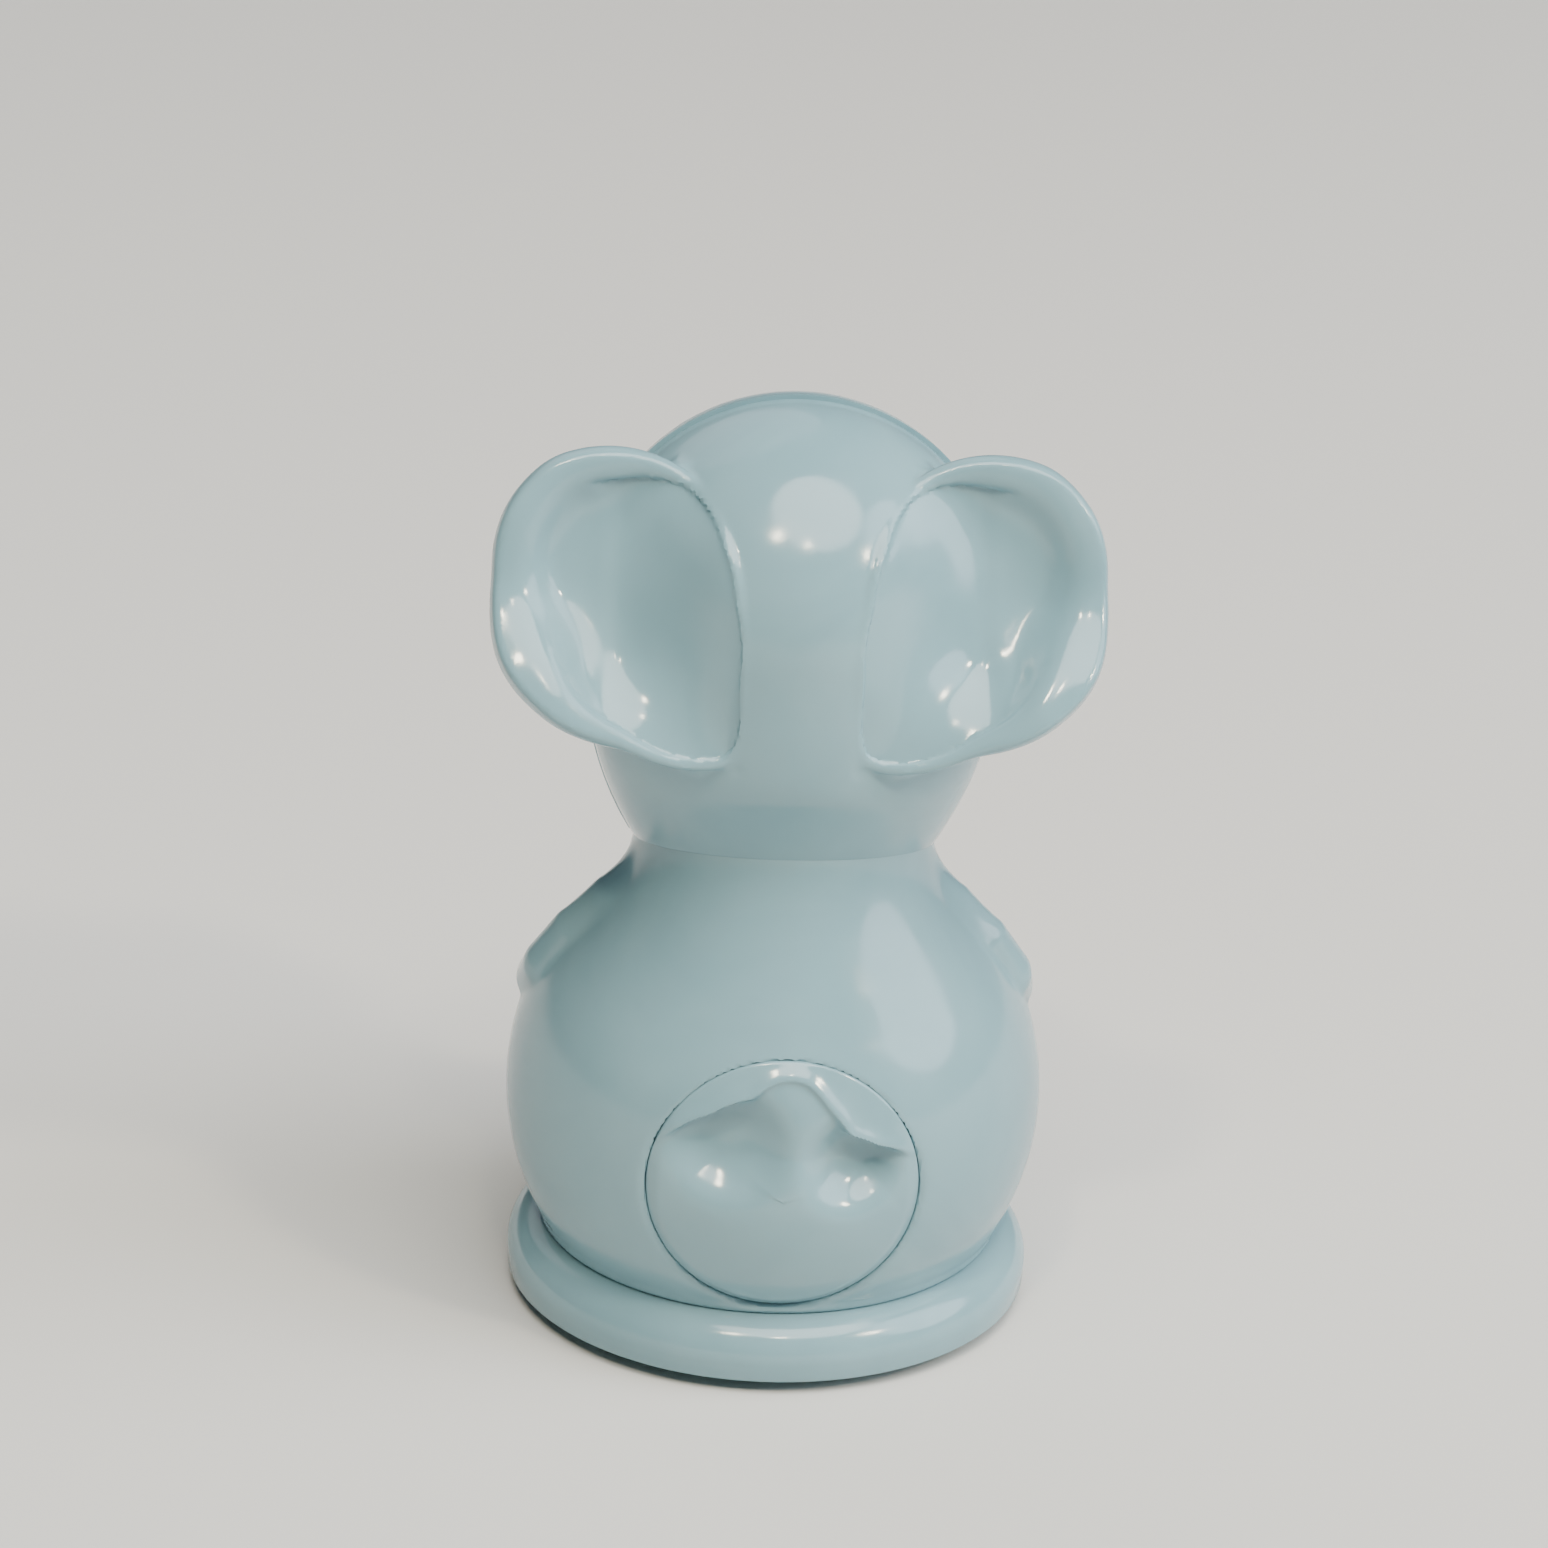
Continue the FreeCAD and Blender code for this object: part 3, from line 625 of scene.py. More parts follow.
@dataclass(frozen=True)
class DrawnMetal(Finish):
    """Drawn, turned or rolled metal: fine lines along one direction and a few dull patches.

    Attributes:
        light: colour of the bright lines.
        dark: colour between them.
        roughness: lowest and highest surface roughness.
        line_mm: spacing of the lines.
        stretch: how much longer than wide they are, along X, Y and Z.
        patch_mm: size of the dull patches.
        scratch_mm: depth of the lines.
    """

    light: str
    dark: str
    roughness: tuple[float, float] = (0.22, 0.42)
    line_mm: float = 0.12
    stretch: tuple[float, float, float] = (0.05, 1.0, 1.0)
    patch_mm: float = 4.0
    scratch_mm: float = 0.004

    def dress(self, tree: Tree, shader: bpy.types.Node, coords: Socket) -> None:
        """Feed the shader as metal."""
        lay = add_node(tree, "ShaderNodeMapping", {"Scale": self.stretch}, {"Vector": coords})
        lines = self.noise(tree, lay.outputs["Vector"], self.line_mm, 3.0)
        patches = self.noise(tree, coords, self.patch_mm, 4.0)
        self.tint(tree, shader, lines, (0.3, self.dark), (0.7, self.light))
        self.dull(tree, shader, patches, (0.3, 0.7), self.roughness)
        scratch = self.bump(tree, lines, self.scratch_mm, strength=0.5)
        tree.links.new(scratch, shader.inputs["Normal"])
        shader.inputs["Metallic"].default_value = 1.0


@dataclass(frozen=True)
class MouldedRubber(Finish):
    """Moulded rubber: near black, matt, with a sandy skin and dust in the low spots.

    Attributes:
        deep: colour of the clean rubber.
        dust: colour of the dust on it.
        sand_mm: size of the grain in the skin.
        sand_height_mm: its height.
    """

    deep: str
    dust: str
    sand_mm: float = 0.25
    sand_height_mm: float = 0.02

    def dress(self, tree: Tree, shader: bpy.types.Node, coords: Socket) -> None:
        """Feed the shader as rubber."""
        skin = self.noise(tree, coords, self.sand_mm, 4.0)
        self.tint(tree, shader, skin, (0.45, self.deep), (0.8, self.dust))
        tree.links.new(self.bump(tree, skin, self.sand_height_mm, strength=0.6), shader.inputs["Normal"])
        shader.inputs["Roughness"].default_value = 0.72
        shader.inputs["Specular IOR Level"].default_value = 0.35


class Palette:
    """Makes each finish once and hands out its material."""

    def __init__(self) -> None:
        """Set up the finishes by the record's material slots."""
        blue = MouldedPlastic("gloss_blue_abs", "#7CA1AC", "#88ACB6")
        self.finishes: dict[str, Finish] = {
            "blue_plastic": blue,
            "base_plastic": MouldedPlastic("satin_blue_abs", "#7797A1", "#86A4AD", roughness=(0.34, 0.5),
                                           grain_mm=0.3, grain_height_mm=0.012, sink_height_mm=0.02),
            "gear_plastic": MouldedPlastic("natural_acetal", "#DCD8CB", "#ECE9DF", roughness=(0.3, 0.42),
                                           flow_mm=4.0, sink_height_mm=0.01, soft=0.3),
            "steel": DrawnMetal("drawn_steel", "#C9C9C6", "#8F8F8D"),
            "frame_steel": DrawnMetal("zinc_plated_steel", "#C6C9CB", "#9A9C9C", roughness=(0.3, 0.5),
                                      line_mm=0.2, stretch=(1.0, 1.0, 0.08)),
            "tyre_rubber": MouldedRubber("moulded_rubber", "#17181A", "#35332F"),
            "dark_plastic": MouldedPlastic("polished_black_abs", "#0B0B0D", "#141417", roughness=(0.06, 0.12),
                                           sink_height_mm=0.004, soft=0.0, clear_coat=0.5),
        }
        self.made: dict[str, bpy.types.Material] = {}

    def material(self, slot: str) -> bpy.types.Material:
        """The material of a slot, made on first use."""
        if slot not in self.made:
            self.made[slot] = self.finishes[slot].material()
        return self.made[slot]


@dataclass
class Workshop:
    """Shared state: measurements, finishes and the calls that hand a piece over.

    Attributes:
        figure: the main measurements.
        palette: the finishes.
        sharp_angle: edges sharper than this many degrees stay crisp.
    """

    figure: Figure
    palette: Palette
    sharp_angle: float = 35.0

    def hand_over(self, bm: BMesh, name: str, body: str, slot: str, nodes: Sequence[str]) -> None:
        """Finish a mesh as a piece of the object.

        Args:
            bm: the mesh in millimetres about the body's axis.
            name: the piece's name.
            body: the moving body that it rides on.
            slot: the material slot that it takes its finish from.
            nodes: the frame nodes that it stands for.
        """
        obj = to_object(bm, name, self.figure.axis_y)
        mesh = obj.data
        mesh.shade_smooth()
        mesh.set_sharp_from_angle(angle=math.radians(self.sharp_angle))
        mesh.materials.append(self.palette.material(slot))
        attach(obj, body)
        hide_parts(*nodes)
        LOG.info("%s: %d faces on %s", name, len(mesh.polygons), body)


# ---- the round body ----
@dataclass
class BodyShells:
    """The two halves of the round body with the arms raised on their sides.

    Attributes:
        shop: shared workshop.
        bead: radius of the bead round the lower lip.
        flange: inner radius of the screw flange.
        gap: clearance round the knob.
        neck_blend: size of the hollow curve from the ball up to the neck.
        arm_line: places along the left arm with the radius there.
        step: spacing of the grid that the skin is made on.
    """

    shop: Workshop
    bead: float = 0.45
    flange: float = 12.2
    gap: float = 0.02
    neck_blend: float = 4.0
    arm_line: tuple[tuple[float, float, float, float], ...] = (
        (10.6, 1.2, 32.6, 1.2), (12.6, 1.1, 30.8, 1.75), (14.9, 0.9, 28.2, 2.15), (16.6, 0.2, 25.3, 2.35),
        (17.1, -2.8, 23.0, 2.3), (16.2, -8.4, 21.6, 2.2), (12.9, -13.6, 20.8, 2.2), (9.7, -16.2, 20.6, 2.7))
    step: float = 0.27

    def arms(self, points: Array) -> Array:
        """Distances to the arms."""
        mirrored = points.copy()
        mirrored[:, 0] = np.abs(mirrored[:, 0])
        reach = np.full(len(points), 99.0)
        for start, end in zip(self.arm_line, self.arm_line[1:]):
            reach = np.minimum(reach, capsule(mirrored, start[:3], end[:3], start[3], end[3]))
        return reach

    def trunk(self, points: Array, inset: float) -> Array:
        """Distances to the ball and neck, drawn in by inset."""
        fig = self.shop.figure
        ring = np.hypot(points[:, 0], points[:, 1])
        solid = ball(points, (0, 0, fig.body_z), fig.body_radius - inset)
        return blend_union(solid, ring - (fig.neck_radius - 0.1 - inset), self.neck_blend)

    def wall(self, points: Array) -> Array:
        """Distances to the whole moulding before it is parted."""
        fig = self.shop.figure
        ring = np.hypot(points[:, 0], points[:, 1])
        soft = 0.35 + 1.7 * smoothstep(27.0, 33.0, points[:, 2])
        skin = blend_union(self.trunk(points, 0.0), self.arms(points), soft)
        about = np.hypot(points[:, 0], points[:, 2] - fig.body_z)
        angle = np.degrees(np.arctan2(points[:, 2] - fig.body_z, -points[:, 0]))
        aside = 1 - smoothstep(0, 45, angle) * (1 - smoothstep(135, 180, angle))
        hole = fig.knob_radius + self.gap
        behind = points[:, 1] > 0
        groove = 0.12 * aside * np.exp(-((about - hole) / 0.7) ** 2) * behind
        hollow = self.trunk(points, fig.wall)
        solid = blend_cut(skin + groove, hollow, 0.2)
        collar = np.maximum(about - hole - 1.0, np.maximum(13.8 - points[:, 1], skin + 0.5))
        flange = np.maximum(np.maximum(fig.plinth_top - points[:, 2], points[:, 2] - fig.plinth_top - 1.0),
                            np.maximum(self.flange - ring, ring - 16.6))
        solid = np.minimum(np.minimum(solid, collar), flange)
        solid = blend_cut(solid, points[:, 2] - fig.plinth_top, 0.25)
        lip = math.sqrt(fig.body_radius ** 2 - (fig.body_z - fig.plinth_top) ** 2) - 0.05
        bead = np.hypot(ring - lip, points[:, 2] - fig.plinth_top - self.bead) - self.bead
        solid = blend_union(solid, bead, 0.25)
        pocket = np.maximum(about - hole, 10.0 - points[:, 1])
        return blend_cut(solid, pocket, 0.16 + 0.4 * aside)

    def build(self) -> None:
        """Mould the wall, lean its neck, make room for the wheels and part the halves."""
        fig = self.shop.figure
        reach = fig.body_radius + 1.2
        low, high = (-reach, -reach, fig.plinth_top - 0.6), (reach, reach, fig.neck_z + 1.2)
        whole = moulded(self.wall, low, high, self.step)
        sliced(whole, (0, 0, fig.neck_z), (0, 0, 1))
        bmesh.ops.bridge_loops(whole, edges=rims(whole))
        place(whole, fig.lean_body(coordinates(whole)))
        for side in Facing:
            whole = boolean(whole, wheel_well(fig, side))
        for side in Facing:
            half = whole.copy()
            sliced(half, (0, 0, 0), (-side.value, 0, 0))
            bmesh.ops.holes_fill(half, edges=rims(half), sides=0)
            bmesh.ops.recalc_face_normals(half, faces=half.faces)
            name = f"body_shell_{side.name.lower()}"
            self.shop.hand_over(half, f"moulded_{name}", "casing", "blue_plastic", [name])
        whole.free()


def wheel_well(fig: Figure, side: Facing) -> BMesh:
    """The room that one road wheel needs, as a block."""
    low, high = (Vector(corner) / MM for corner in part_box(f"tyre_{side.name.lower()}"))
    room, room_low_x = 0.35, 0.5
    return block((low.x - room_low_x, low.y - fig.axis_y - room, -1.0),
                 (high.x + room, high.y - fig.axis_y + room, high.z + room))


# ---- the plinth ----
@dataclass
class Plinth:
    """The low round skirt under the body.

    Attributes:
        shop: shared workshop.
        flange: inner radius of its top flange.
    """

    shop: Workshop
    flange: float = 12.2

    def build(self) -> None:
        """Spin the skirt and cut room for the wheels."""
        fig = self.shop.figure
        r, low, top = fig.plinth_radius, fig.plinth_low, fig.plinth_top
        points = arc((r - 0.35, low + 0.25), 0.25, -90, -20, 4)
        points += arc((r - 2.9, top - 2.85), 2.85, -8, 90, 30)
        points += [(self.flange + 2.0, top), (self.flange, top), (self.flange, top - 1.0),
                   (r - 3.0, top - 1.0), (r - fig.wall, low + 1.6), (r - fig.wall, low)]
        ring = spun(points, 288)
        for side in Facing:
            ring = boolean(ring, wheel_well(fig, side))
        self.shop.hand_over(ring, "moulded_plinth", "casing", "blue_plastic", ["plinth"])


# ---- the winding knob ----
@dataclass
class WindingKnob:
    """The round knob low on the back: a wavy raised edge, a finger ridge and two hollows.

    Attributes:
        shop: shared workshop.
        back: distance of the knob's inner face from the axis.
        edge_line: distance of the wavy edge from the middle, by angle from the right.
        hollows: middle, half width and half height of each hollow, and its depth.
    """

    shop: Workshop
    back: float = 15.3
    edge_line: Rounded = Rounded(((15, 9.9), (20, 9.2), (30, 7.75), (47, 6.72), (66, 7.56), (79, 8.65),
                                  (87, 8.9), (95, 8.73), (101, 8.45), (108, 7.9), (132, 8.2), (143, 8.86),
                                  (158, 9.8), (180, 12.0), (270, 12.0), (360, 12.0)), spread=3)
    hollows: tuple[tuple[float, float, float, float, float], ...] = (
        (-4.1, 3.9, 3.6, 3.4, 2.2), (4.9, 2.5, 2.9, 2.8, 2.1))

    def relief(self, across: Array, up: Array) -> Array:
        """Height of the grip over the plain cap.

        Args:
            across: distance from the middle, towards the viewer's right.
            up: distance above the middle.

        Returns:
            Height in millimetres, one per point.
        """
        radius = np.hypot(across, up)
        angle = np.degrees(np.arctan2(up, across))
        edge = radius - self.edge_line.at(angle)
        fade = smoothstep(6, 42, angle) * (1 - smoothstep(146, 168, angle))
        crest = np.where(edge > 0, np.exp(-(edge / 0.7) ** 2), np.exp(-(edge / 0.3) ** 2))
        height = (0.06 + 0.34 * crest) * fade
        inside = 1 - smoothstep(-0.75, 0.1, edge)
        for middle_x, middle_up, wide, high, depth in self.hollows:
            reach = ((across - middle_x) / wide) ** 2 + ((up - middle_up) / high) ** 2
            height -= depth * inside * np.exp(-reach ** 1.6)
        belly = np.clip(1 - ((across / 9.0) ** 2 + ((up + 3.2) / 6.2) ** 2), 0, 1)
        rim = smoothstep(-1.1, 0.0, radius - self.shop.figure.knob_radius)
        soft_side = 1 - smoothstep(-10, 40, angle) * (1 - smoothstep(140, 190, angle))
        soft_side = np.where(angle < -90, 1.0, soft_side)
        return height + 0.5 * belly - 0.42 * rim ** 2 * soft_side

    def build(self) -> None:
        """Spin the cap about its own axis and press the grip into it."""
        fig = self.shop.figure
        r, big = fig.knob_radius, fig.body_radius
        rim_y = math.sqrt(big * big - r * r)
        rings, drops = 70, 5
        radii = [r * i / rings for i in range(rings)]
        front = [(radius, math.sqrt(big * big - radius ** 2)) for radius in radii]
        rim = [(r - 0.04, rim_y + 0.01), (r, rim_y - 0.05)]
        top = rim_y - 0.6
        side = [(r, top + (self.back - top) * i / drops) for i in range(drops)]
        boss, boss_end = 2.4, 13.0
        back = [(r, self.back), (r - 0.3, self.back), (boss, self.back), (boss, boss_end), (0.0, boss_end)]
        knob = spun(front + rim + side + back, 320, about_y=True, closed=False)
        points = coordinates(knob)
        on_front = points[:, 1] > rim_y - 0.2
        points[:, 1] += np.where(on_front, self.relief(-points[:, 0], points[:, 2]), 0.0)
        points[:, 2] += fig.body_z
        place(knob, points)
        bmesh.ops.recalc_face_normals(knob, faces=knob.faces)
        LOG.info("knob reaches %.2f mm from the axis", points[:, 1].max())
        self.shop.hand_over(knob, "moulded_winding_knob", "winding", "blue_plastic", ["winding_knob"])


# ---- the head ----
@dataclass
class Head:
    """The rear shell with its cupped ears, and the face shell.

    Attributes:
        shop: shared workshop.
        ear_centre: middle of the left ear's dish, from the axis.
        ear_facing: direction that the dish opens to.
        ear_skin: thickness of the dish.
        fillet: blend between ear and head.
        step: spacing of the grid that the skin is made on.
        outline: radius of the ear's outline, by angle from outward.
        roll: radius of its rolled rim, fat at the lower outer side and fine along the root.
        dish: height of the dish over the ear's plane.
        dish_lean: how steep the dish is, which thins it when it is measured upright.
        scoop_spare: how much skin is left over the dish on its outer side.
        dimple: middle and radius of the small dent under the ear's root.
        nape_height: height over the neck at which the head stops narrowing.
        nape_power: how late the narrowing sets in.
        muzzle: back end, tip and the radius at each.
        cheek: middle and radius of the left cheek.
        chin: middle and radius of the chin.
        mouth: height of the mouth's middle, its half width and its depth.
        skin: thickness of the head's wall.
    """

    shop: Workshop
    ear_centre: tuple[float, float, float] = (13.6, 11.0, 58.8)
    ear_facing: tuple[float, float, float] = (0.24, 0.92, 0.30)
    ear_skin: float = 1.9
    fillet: float = 1.3
    step: float = 0.27
    outline: Rounded = Rounded((
        (6, 8.9), (38, 9.9), (62, 10.5), (85, 10.2), (102, 9.9), (118, 9.6), (156, 9.2), (184, 9.6),
        (215, 11.7), (233, 15.0), (246, 13.6), (264, 10.9), (282, 10.3), (301, 9.8), (327, 9.5),
        (350, 9.0)), spread=6)
    roll: Rounded = Rounded((
        (0, 1.5), (60, 1.3), (90, 1.05), (112, 0.5), (130, 0.25), (222, 0.25), (240, 0.35), (262, 0.6),
        (282, 1.15), (305, 1.9), (330, 2.0), (350, 1.7)), spread=11)
    dish: Sheet = field(default_factory=lambda: Sheet((
        (-5.24, 9.09, -4.1), (-8.19, 3.63, -0.55), (-9.26, -0.63, 0.0), (-8.95, -6.52, -1.25),
        (-8.56, -11.26, -2.8), (-5.0, 0.0, -1.9), (-2.0, 0.0, -3.2), (1.0, 0.0, -3.9), (4.0, 0.0, -3.3),
        (6.5, 0.0, -1.9), (8.9, 0.0, -0.4),
        (7.5, 5.5, -0.8), (4.8, 9.5, -1.5), (1.0, 10.5, -2.3), (-2.5, 10.5, -3.3), (-1.0, 8.0, -3.9),
        (-4.0, 5.0, -3.0), (0.0, 5.0, -4.2), (-4.0, -7.0, -2.1), (0.0, -5.0, -3.0), (6.5, -5.5, 0.9),
        (3.5, -8.0, 0.9), (0.0, -9.8, -0.1), (-4.0, -12.2, -1.5))))

    dish_lean: float = 1.2
    scoop_spare: float = 2.2
    dimple: tuple[tuple[float, float, float], float] = ((4.5, 14.9, 46.7), 0.8)
    nape_height: float = 14.0
    nape_power: float = 2.2
    muzzle: tuple = ((0, -10.0, 47.6), (0, -20.4, 46.3), 7.6, 3.3)
    cheek: tuple[tuple[float, float, float], float] = ((4.4, -15.3, 45.3), 4.1)
    chin: tuple[tuple[float, float, float], float] = ((0, -14.9, 43.0), 2.8)
    mouth: tuple[float, float, float] = (43.4, 0.5, 0.6)
    skin: float = 2.4

    # -- the skull
    def skull(self, points: Array) -> Array:
        """Distances to the plain head without ears."""
        fig = self.shop.figure
        r = np.hypot(points[:, 0], points[:, 1])
        z = points[:, 2]
        down = np.clip((fig.neck_z + self.nape_height - z) / self.nape_height, 0, 1.3)
        flare, power = fig.head_radius - fig.neck_radius, self.nape_power
        steepness = flare * power * down ** (power - 1) / self.nape_height
        lower = (r - fig.head_radius + flare * down ** power) / np.sqrt(1 + steepness ** 2)
        upper = np.sqrt(r ** 2 + (z - fig.head_z) ** 2) - fig.head_radius
        return np.where(z > fig.head_z, upper, lower)

    # -- the ears
    def ear_frame(self) -> tuple[Array, Array, Array]:
        """Outward, upward and facing directions of the left ear."""
        facing = np.array(self.ear_facing) / np.linalg.norm(self.ear_facing)
        outward = np.array([1.0, 0, 0]) - facing[0] * facing
        outward /= np.linalg.norm(outward)
        return outward, np.cross(outward, facing), facing

    def rear(self, points: Array) -> Array:
        """Distances to the rear moulding before it is parted."""
        outward, upward, facing = self.ear_frame()
        local = points.copy()
        local[:, 0] = np.abs(local[:, 0])
        mirrored = local.copy()
        local -= np.array(self.ear_centre)
        a, b, h = local @ outward, local @ upward, local @ facing
        r = np.hypot(a, b)
        angle = np.degrees(np.arctan2(b, a))
        outline, roll = self.outline.at(angle), self.roll.at(angle)
        top = self.dish.height(a, b)
        sheet = np.abs(h - top + self.ear_skin / 2) / self.dish_lean - self.ear_skin / 2
        web = blend_cut(sheet, outline - 0.5 * roll - r, 0.6)
        bead = outline - roll
        unit = bead / np.maximum(r, 0.1)
        bead_h = self.dish.height(a * unit, b * unit) - 0.7 * roll
        ear = blend_union(web, np.hypot(r - bead, h - bead_h) - roll, 1.35 * roll)
        fillet = 0.3 + (self.fillet - 0.3) * (1 - smoothstep(-1.4, -0.4, h - top))
        solid = blend_union(self.skull(points), ear, fillet)
        spare = self.scoop_spare * smoothstep(0.0, 6.0, a)
        scoop = np.maximum((top + spare - h) / self.dish_lean, r - (outline - 2.0 * roll - 0.1))
        solid = blend_cut(solid, scoop, 0.2)
        return blend_cut(solid, ball(mirrored, *self.dimple), 0.3)

    # -- the face
    def face(self, points: Array) -> Array:
        """Distances to the front moulding before it is parted."""
        fig = self.shop.figure
        mirrored = points.copy()
        mirrored[:, 0] = np.abs(mirrored[:, 0])
        solid = self.skull(points) - fig.face_step
        solid = blend_union(solid, capsule(points, *self.muzzle), 4.0)
        solid = blend_union(solid, ball(mirrored, *self.cheek), 1.8)
        solid = blend_union(solid, ball(points, *self.chin), 2.6)
        x, z = mirrored[:, 0], points[:, 2]
        front = smoothstep(13.0, 15.0, -points[:, 1])
        middle, half_width, depth = self.mouth
        smile = middle - 0.1 * x + 0.075 * x ** 2
        lips = np.exp(-((z - smile) / half_width) ** 2) * (1 - smoothstep(4.6, 6.6, x))
        cleft = np.exp(-(x / half_width) ** 2) * smoothstep(middle - 0.2, middle + 0.4, z)
        cleft *= 1 - smoothstep(45.6, 46.2, z)
        return solid + depth * front * np.maximum(lips, cleft)

    def cavity(self) -> BMesh:
        """The inner surface of the head."""
        fig = self.shop.figure
        inner, start = fig.head_radius - self.skin, fig.neck_radius - fig.wall
        rise, steps = 1.2, 12
        points = [(start, fig.neck_z - 2.0)]
        points += [(start + (inner - start) * math.sin(math.pi / 2 * i / steps), fig.neck_z + rise * i)
                   for i in range(steps)]
        points += arc((0.0, fig.head_z), inner, 0, 90, 20)
        return spun([(max(x, 0.0), y) for x, y in points], 96, closed=False)

    def part(self, outside: BMesh, ahead: bool) -> BMesh:
        """Cut a moulding at the seam and the neck and give it its inner wall.

        Args:
            outside: the closed outer surface.
            ahead: keep the front half rather than the rear.

        Returns:
            A closed shell.
        """
        fig = self.shop.figure
        inside = self.cavity()
        direction = 1 if ahead else -1
        for bm in (outside, inside):
            sliced(bm, (0, fig.seam_y, 0), (0, direction, 0))
            sliced(bm, (0, 0, fig.neck_z + 0.01), (0, 0, -1))
            bmesh.ops.recalc_face_normals(bm, faces=bm.faces)
        bmesh.ops.reverse_faces(inside, faces=inside.faces)
        shell = merged([outside, inside])
        bmesh.ops.bridge_loops(shell, edges=rims(shell))
        bmesh.ops.recalc_face_normals(shell, faces=shell.faces)
        place(shell, fig.lean_head(coordinates(shell)))
        return shell

    def build(self) -> None:
        """Mould both halves of the head."""
        fig = self.shop.figure
        foot, seam = fig.neck_z - 1.2, fig.seam_y
        halves = (("head_rear_shell", self.rear, (-24.0, seam - 1.2, foot), (24.0, 19.0, 71.5)),
                  ("face_shell", self.face, (-17.0, -25.5, foot), (17.0, seam + 1.2, 71.5)))
        for node, shape, low, high in halves:
            shell = self.part(moulded(shape, low, high, self.step), shape == self.face)
            self.shop.hand_over(shell, f"moulded_{node}", "casing", "blue_plastic", [node])


# ---- nodes that keep their shape ----
def dress_frame(shop: Workshop) -> None:
    """Give every frame node that stays on show its finish.

    Args:
        shop: shared workshop.
    """
    slots = {part["node"]: part["material_slot"] for part in frame["record"]["subparts"]}
    for name, obj in frame["nodes"].items():
        material = shop.palette.material(slots[name])
        if not obj.material_slots:
            obj.data.materials.append(material)
        for slot in obj.material_slots:
            slot.material = material
    LOG.info("dressed %d frame nodes", len(frame["nodes"]))


# ---- the set ----
@dataclass(frozen=True)
class Lamp:
    """One round soft light that looks at the figure: its bearing and height in degrees, its distance
    and size in metres, its power in watts and its sRGB colour."""

    name: str
    azimuth: float
    elevation: float
    distance: float
    size: float
    watts: float
    colour: str


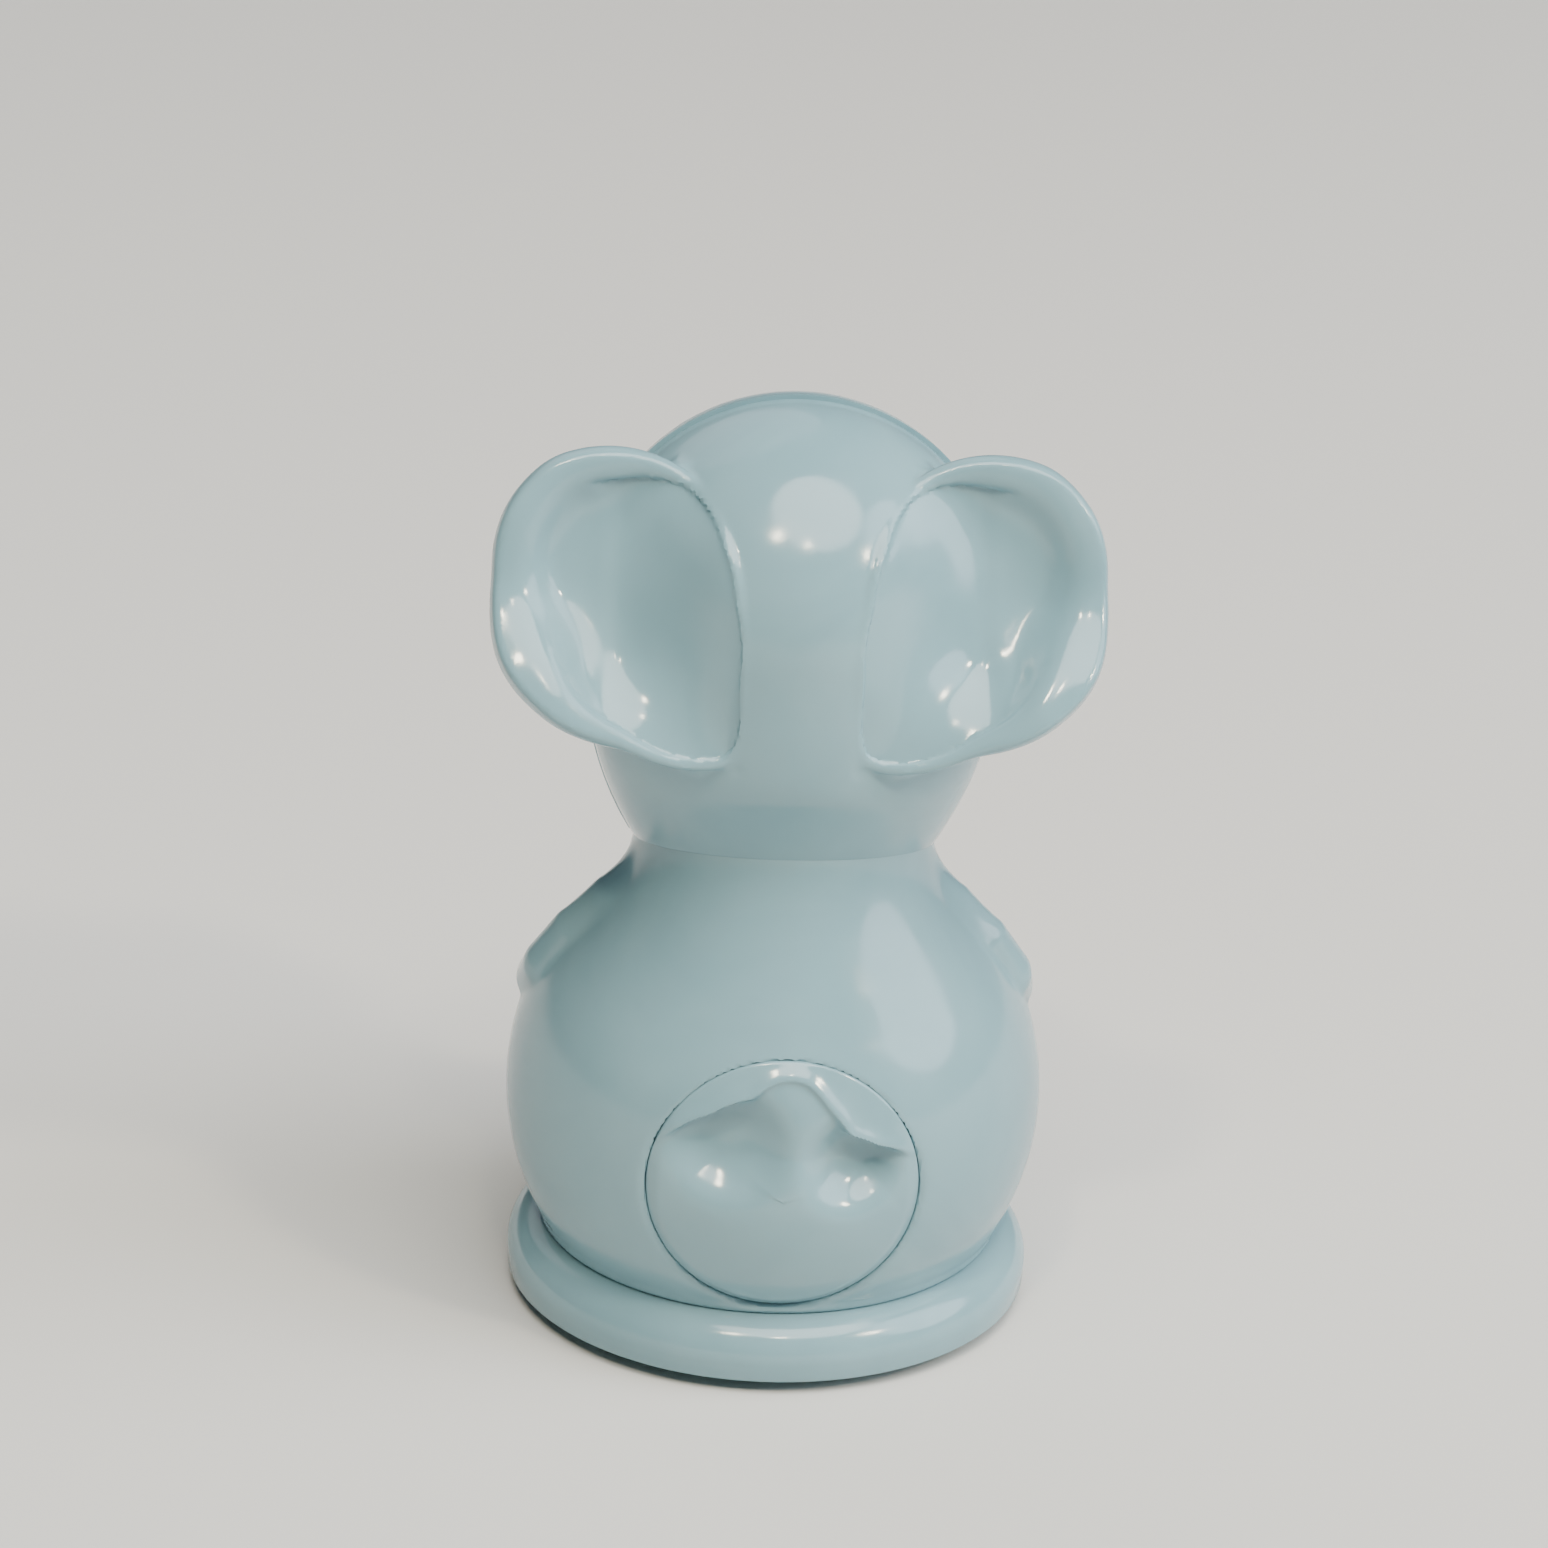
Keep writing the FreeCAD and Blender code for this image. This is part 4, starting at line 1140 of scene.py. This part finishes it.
@dataclass
class Studio:
    """Floor, soft lights and the camera.

    Attributes:
        shop: shared workshop.
        azimuth: camera's bearing in degrees; 180 looks at the back.
        elevation: its height in degrees.
        distance_mm: its distance from the middle of the figure.
        roll: how far the picture leans, in degrees.
        lens_mm: focal length on a 36 mm sensor.
        middle_mm: height that the camera and the lights are placed about.
        aim_mm: where the camera looks, to the figure's left and upwards.
        floor_mm: half the floor's side.
        world_strength: strength of the light from all round.
        lamps: the lights.
    """

    shop: Workshop
    azimuth: float = 176.6
    elevation: float = 23.5
    distance_mm: float = 400.0
    roll: float = 2.45
    lens_mm: float = 125.6
    middle_mm: float = 31.0
    aim_mm: tuple[float, float] = (0.9, 40.9)
    floor_mm: float = 6000.0
    world_strength: float = 0.08
    lamps: tuple[Lamp, ...] = (
        Lamp("overhead_softbox", 205, 70, 1.1, 0.9, 17.0, "#FFFDF8"),
        Lamp("room_lamp_left", 159, 56, 1.2, 0.10, 3.4, "#FFF0D2"),
        Lamp("room_lamp_mid", 186, 52, 1.2, 0.07, 1.2, "#FFF0D2"),
        Lamp("room_lamp_right", 231, 39, 1.2, 0.13, 5.0, "#FFF0D2"),
        Lamp("window_right", 258, 34, 1.5, 1.2, 19.0, "#F2F6FF"),
        Lamp("front_fill", 20, 40, 1.4, 1.2, 3.0, "#F6F8FF"))

    def back_vector(self, azimuth: float, elevation: float) -> Vector:
        """Direction from the figure towards a bearing and height in degrees."""
        a, e = math.radians(azimuth), math.radians(elevation)
        return Vector((math.sin(a) * math.cos(e), -math.cos(a) * math.cos(e), math.sin(e)))

    def floor(self) -> None:
        """Lay the pale floor."""
        bm = bmesh.new()
        bmesh.ops.create_grid(bm, x_segments=4, y_segments=4, size=self.floor_mm)
        obj = to_object(bm, "studio_floor")
        material = bpy.data.materials.new("pale_floor")
        material.use_nodes = True
        shader = material.node_tree.nodes["Principled BSDF"]
        shader.inputs["Base Color"].default_value = linear("#D2D2CF")
        shader.inputs["Roughness"].default_value = 0.8
        obj.data.materials.append(material)

    def light(self, lamp: Lamp) -> None:
        """Hang one light.

        Args:
            lamp: what to hang, and where.
        """
        data = bpy.data.lights.new(lamp.name, "AREA")
        data.shape, data.size, data.energy = "DISK", lamp.size, lamp.watts
        data.color = linear(lamp.colour)[:3]
        obj = bpy.data.objects.new(lamp.name, data)
        bpy.context.scene.collection.objects.link(obj)
        middle = Vector((0, 0, self.middle_mm * MM))
        obj.location = middle + self.back_vector(lamp.azimuth, lamp.elevation) * lamp.distance
        obj.rotation_euler = (obj.location - middle).to_track_quat("Z", "Y").to_euler()

    def camera(self) -> None:
        """Set the camera up behind and above the figure."""
        data = bpy.data.cameras.new("studio_camera")
        data.lens, data.sensor_width = self.lens_mm, 36.0
        data.clip_start, data.clip_end = 0.01, 20.0
        obj = bpy.data.objects.new("studio_camera", data)
        bpy.context.scene.collection.objects.link(obj)
        axis_y = self.shop.figure.axis_y * MM
        middle = Vector((0, axis_y, self.middle_mm * MM))
        obj.location = middle + self.back_vector(self.azimuth, self.elevation) * self.distance_mm * MM
        aim = Vector((self.aim_mm[0] * MM, axis_y, self.aim_mm[1] * MM))
        look = (obj.location - aim).to_track_quat("Z", "Y")
        obj.rotation_mode = "QUATERNION"
        obj.rotation_quaternion = look @ Matrix.Rotation(math.radians(self.roll), 4, "Z").to_quaternion()
        bpy.context.scene.camera = obj

    def build(self) -> None:
        """Lay the floor, hang the lights and place the camera."""
        self.floor()
        for lamp in self.lamps:
            self.light(lamp)
        world = bpy.data.worlds.new("studio_world")
        world.use_nodes = True
        background = world.node_tree.nodes["Background"].inputs
        background["Color"].default_value = linear("#E4E8EC")
        background["Strength"].default_value = self.world_strength
        bpy.context.scene.world = world
        self.camera()


def main() -> None:
    """Build the whole scene in order."""
    logging.basicConfig(level=logging.INFO, format="%(name)s: %(message)s")
    shop = Workshop(Figure.from_frame(), Palette())
    dress_frame(shop)
    Plinth(shop).build()
    BodyShells(shop).build()
    WindingKnob(shop).build()
    Head(shop).build()
    Studio(shop).build()


if __name__ == "__main__":
    main()
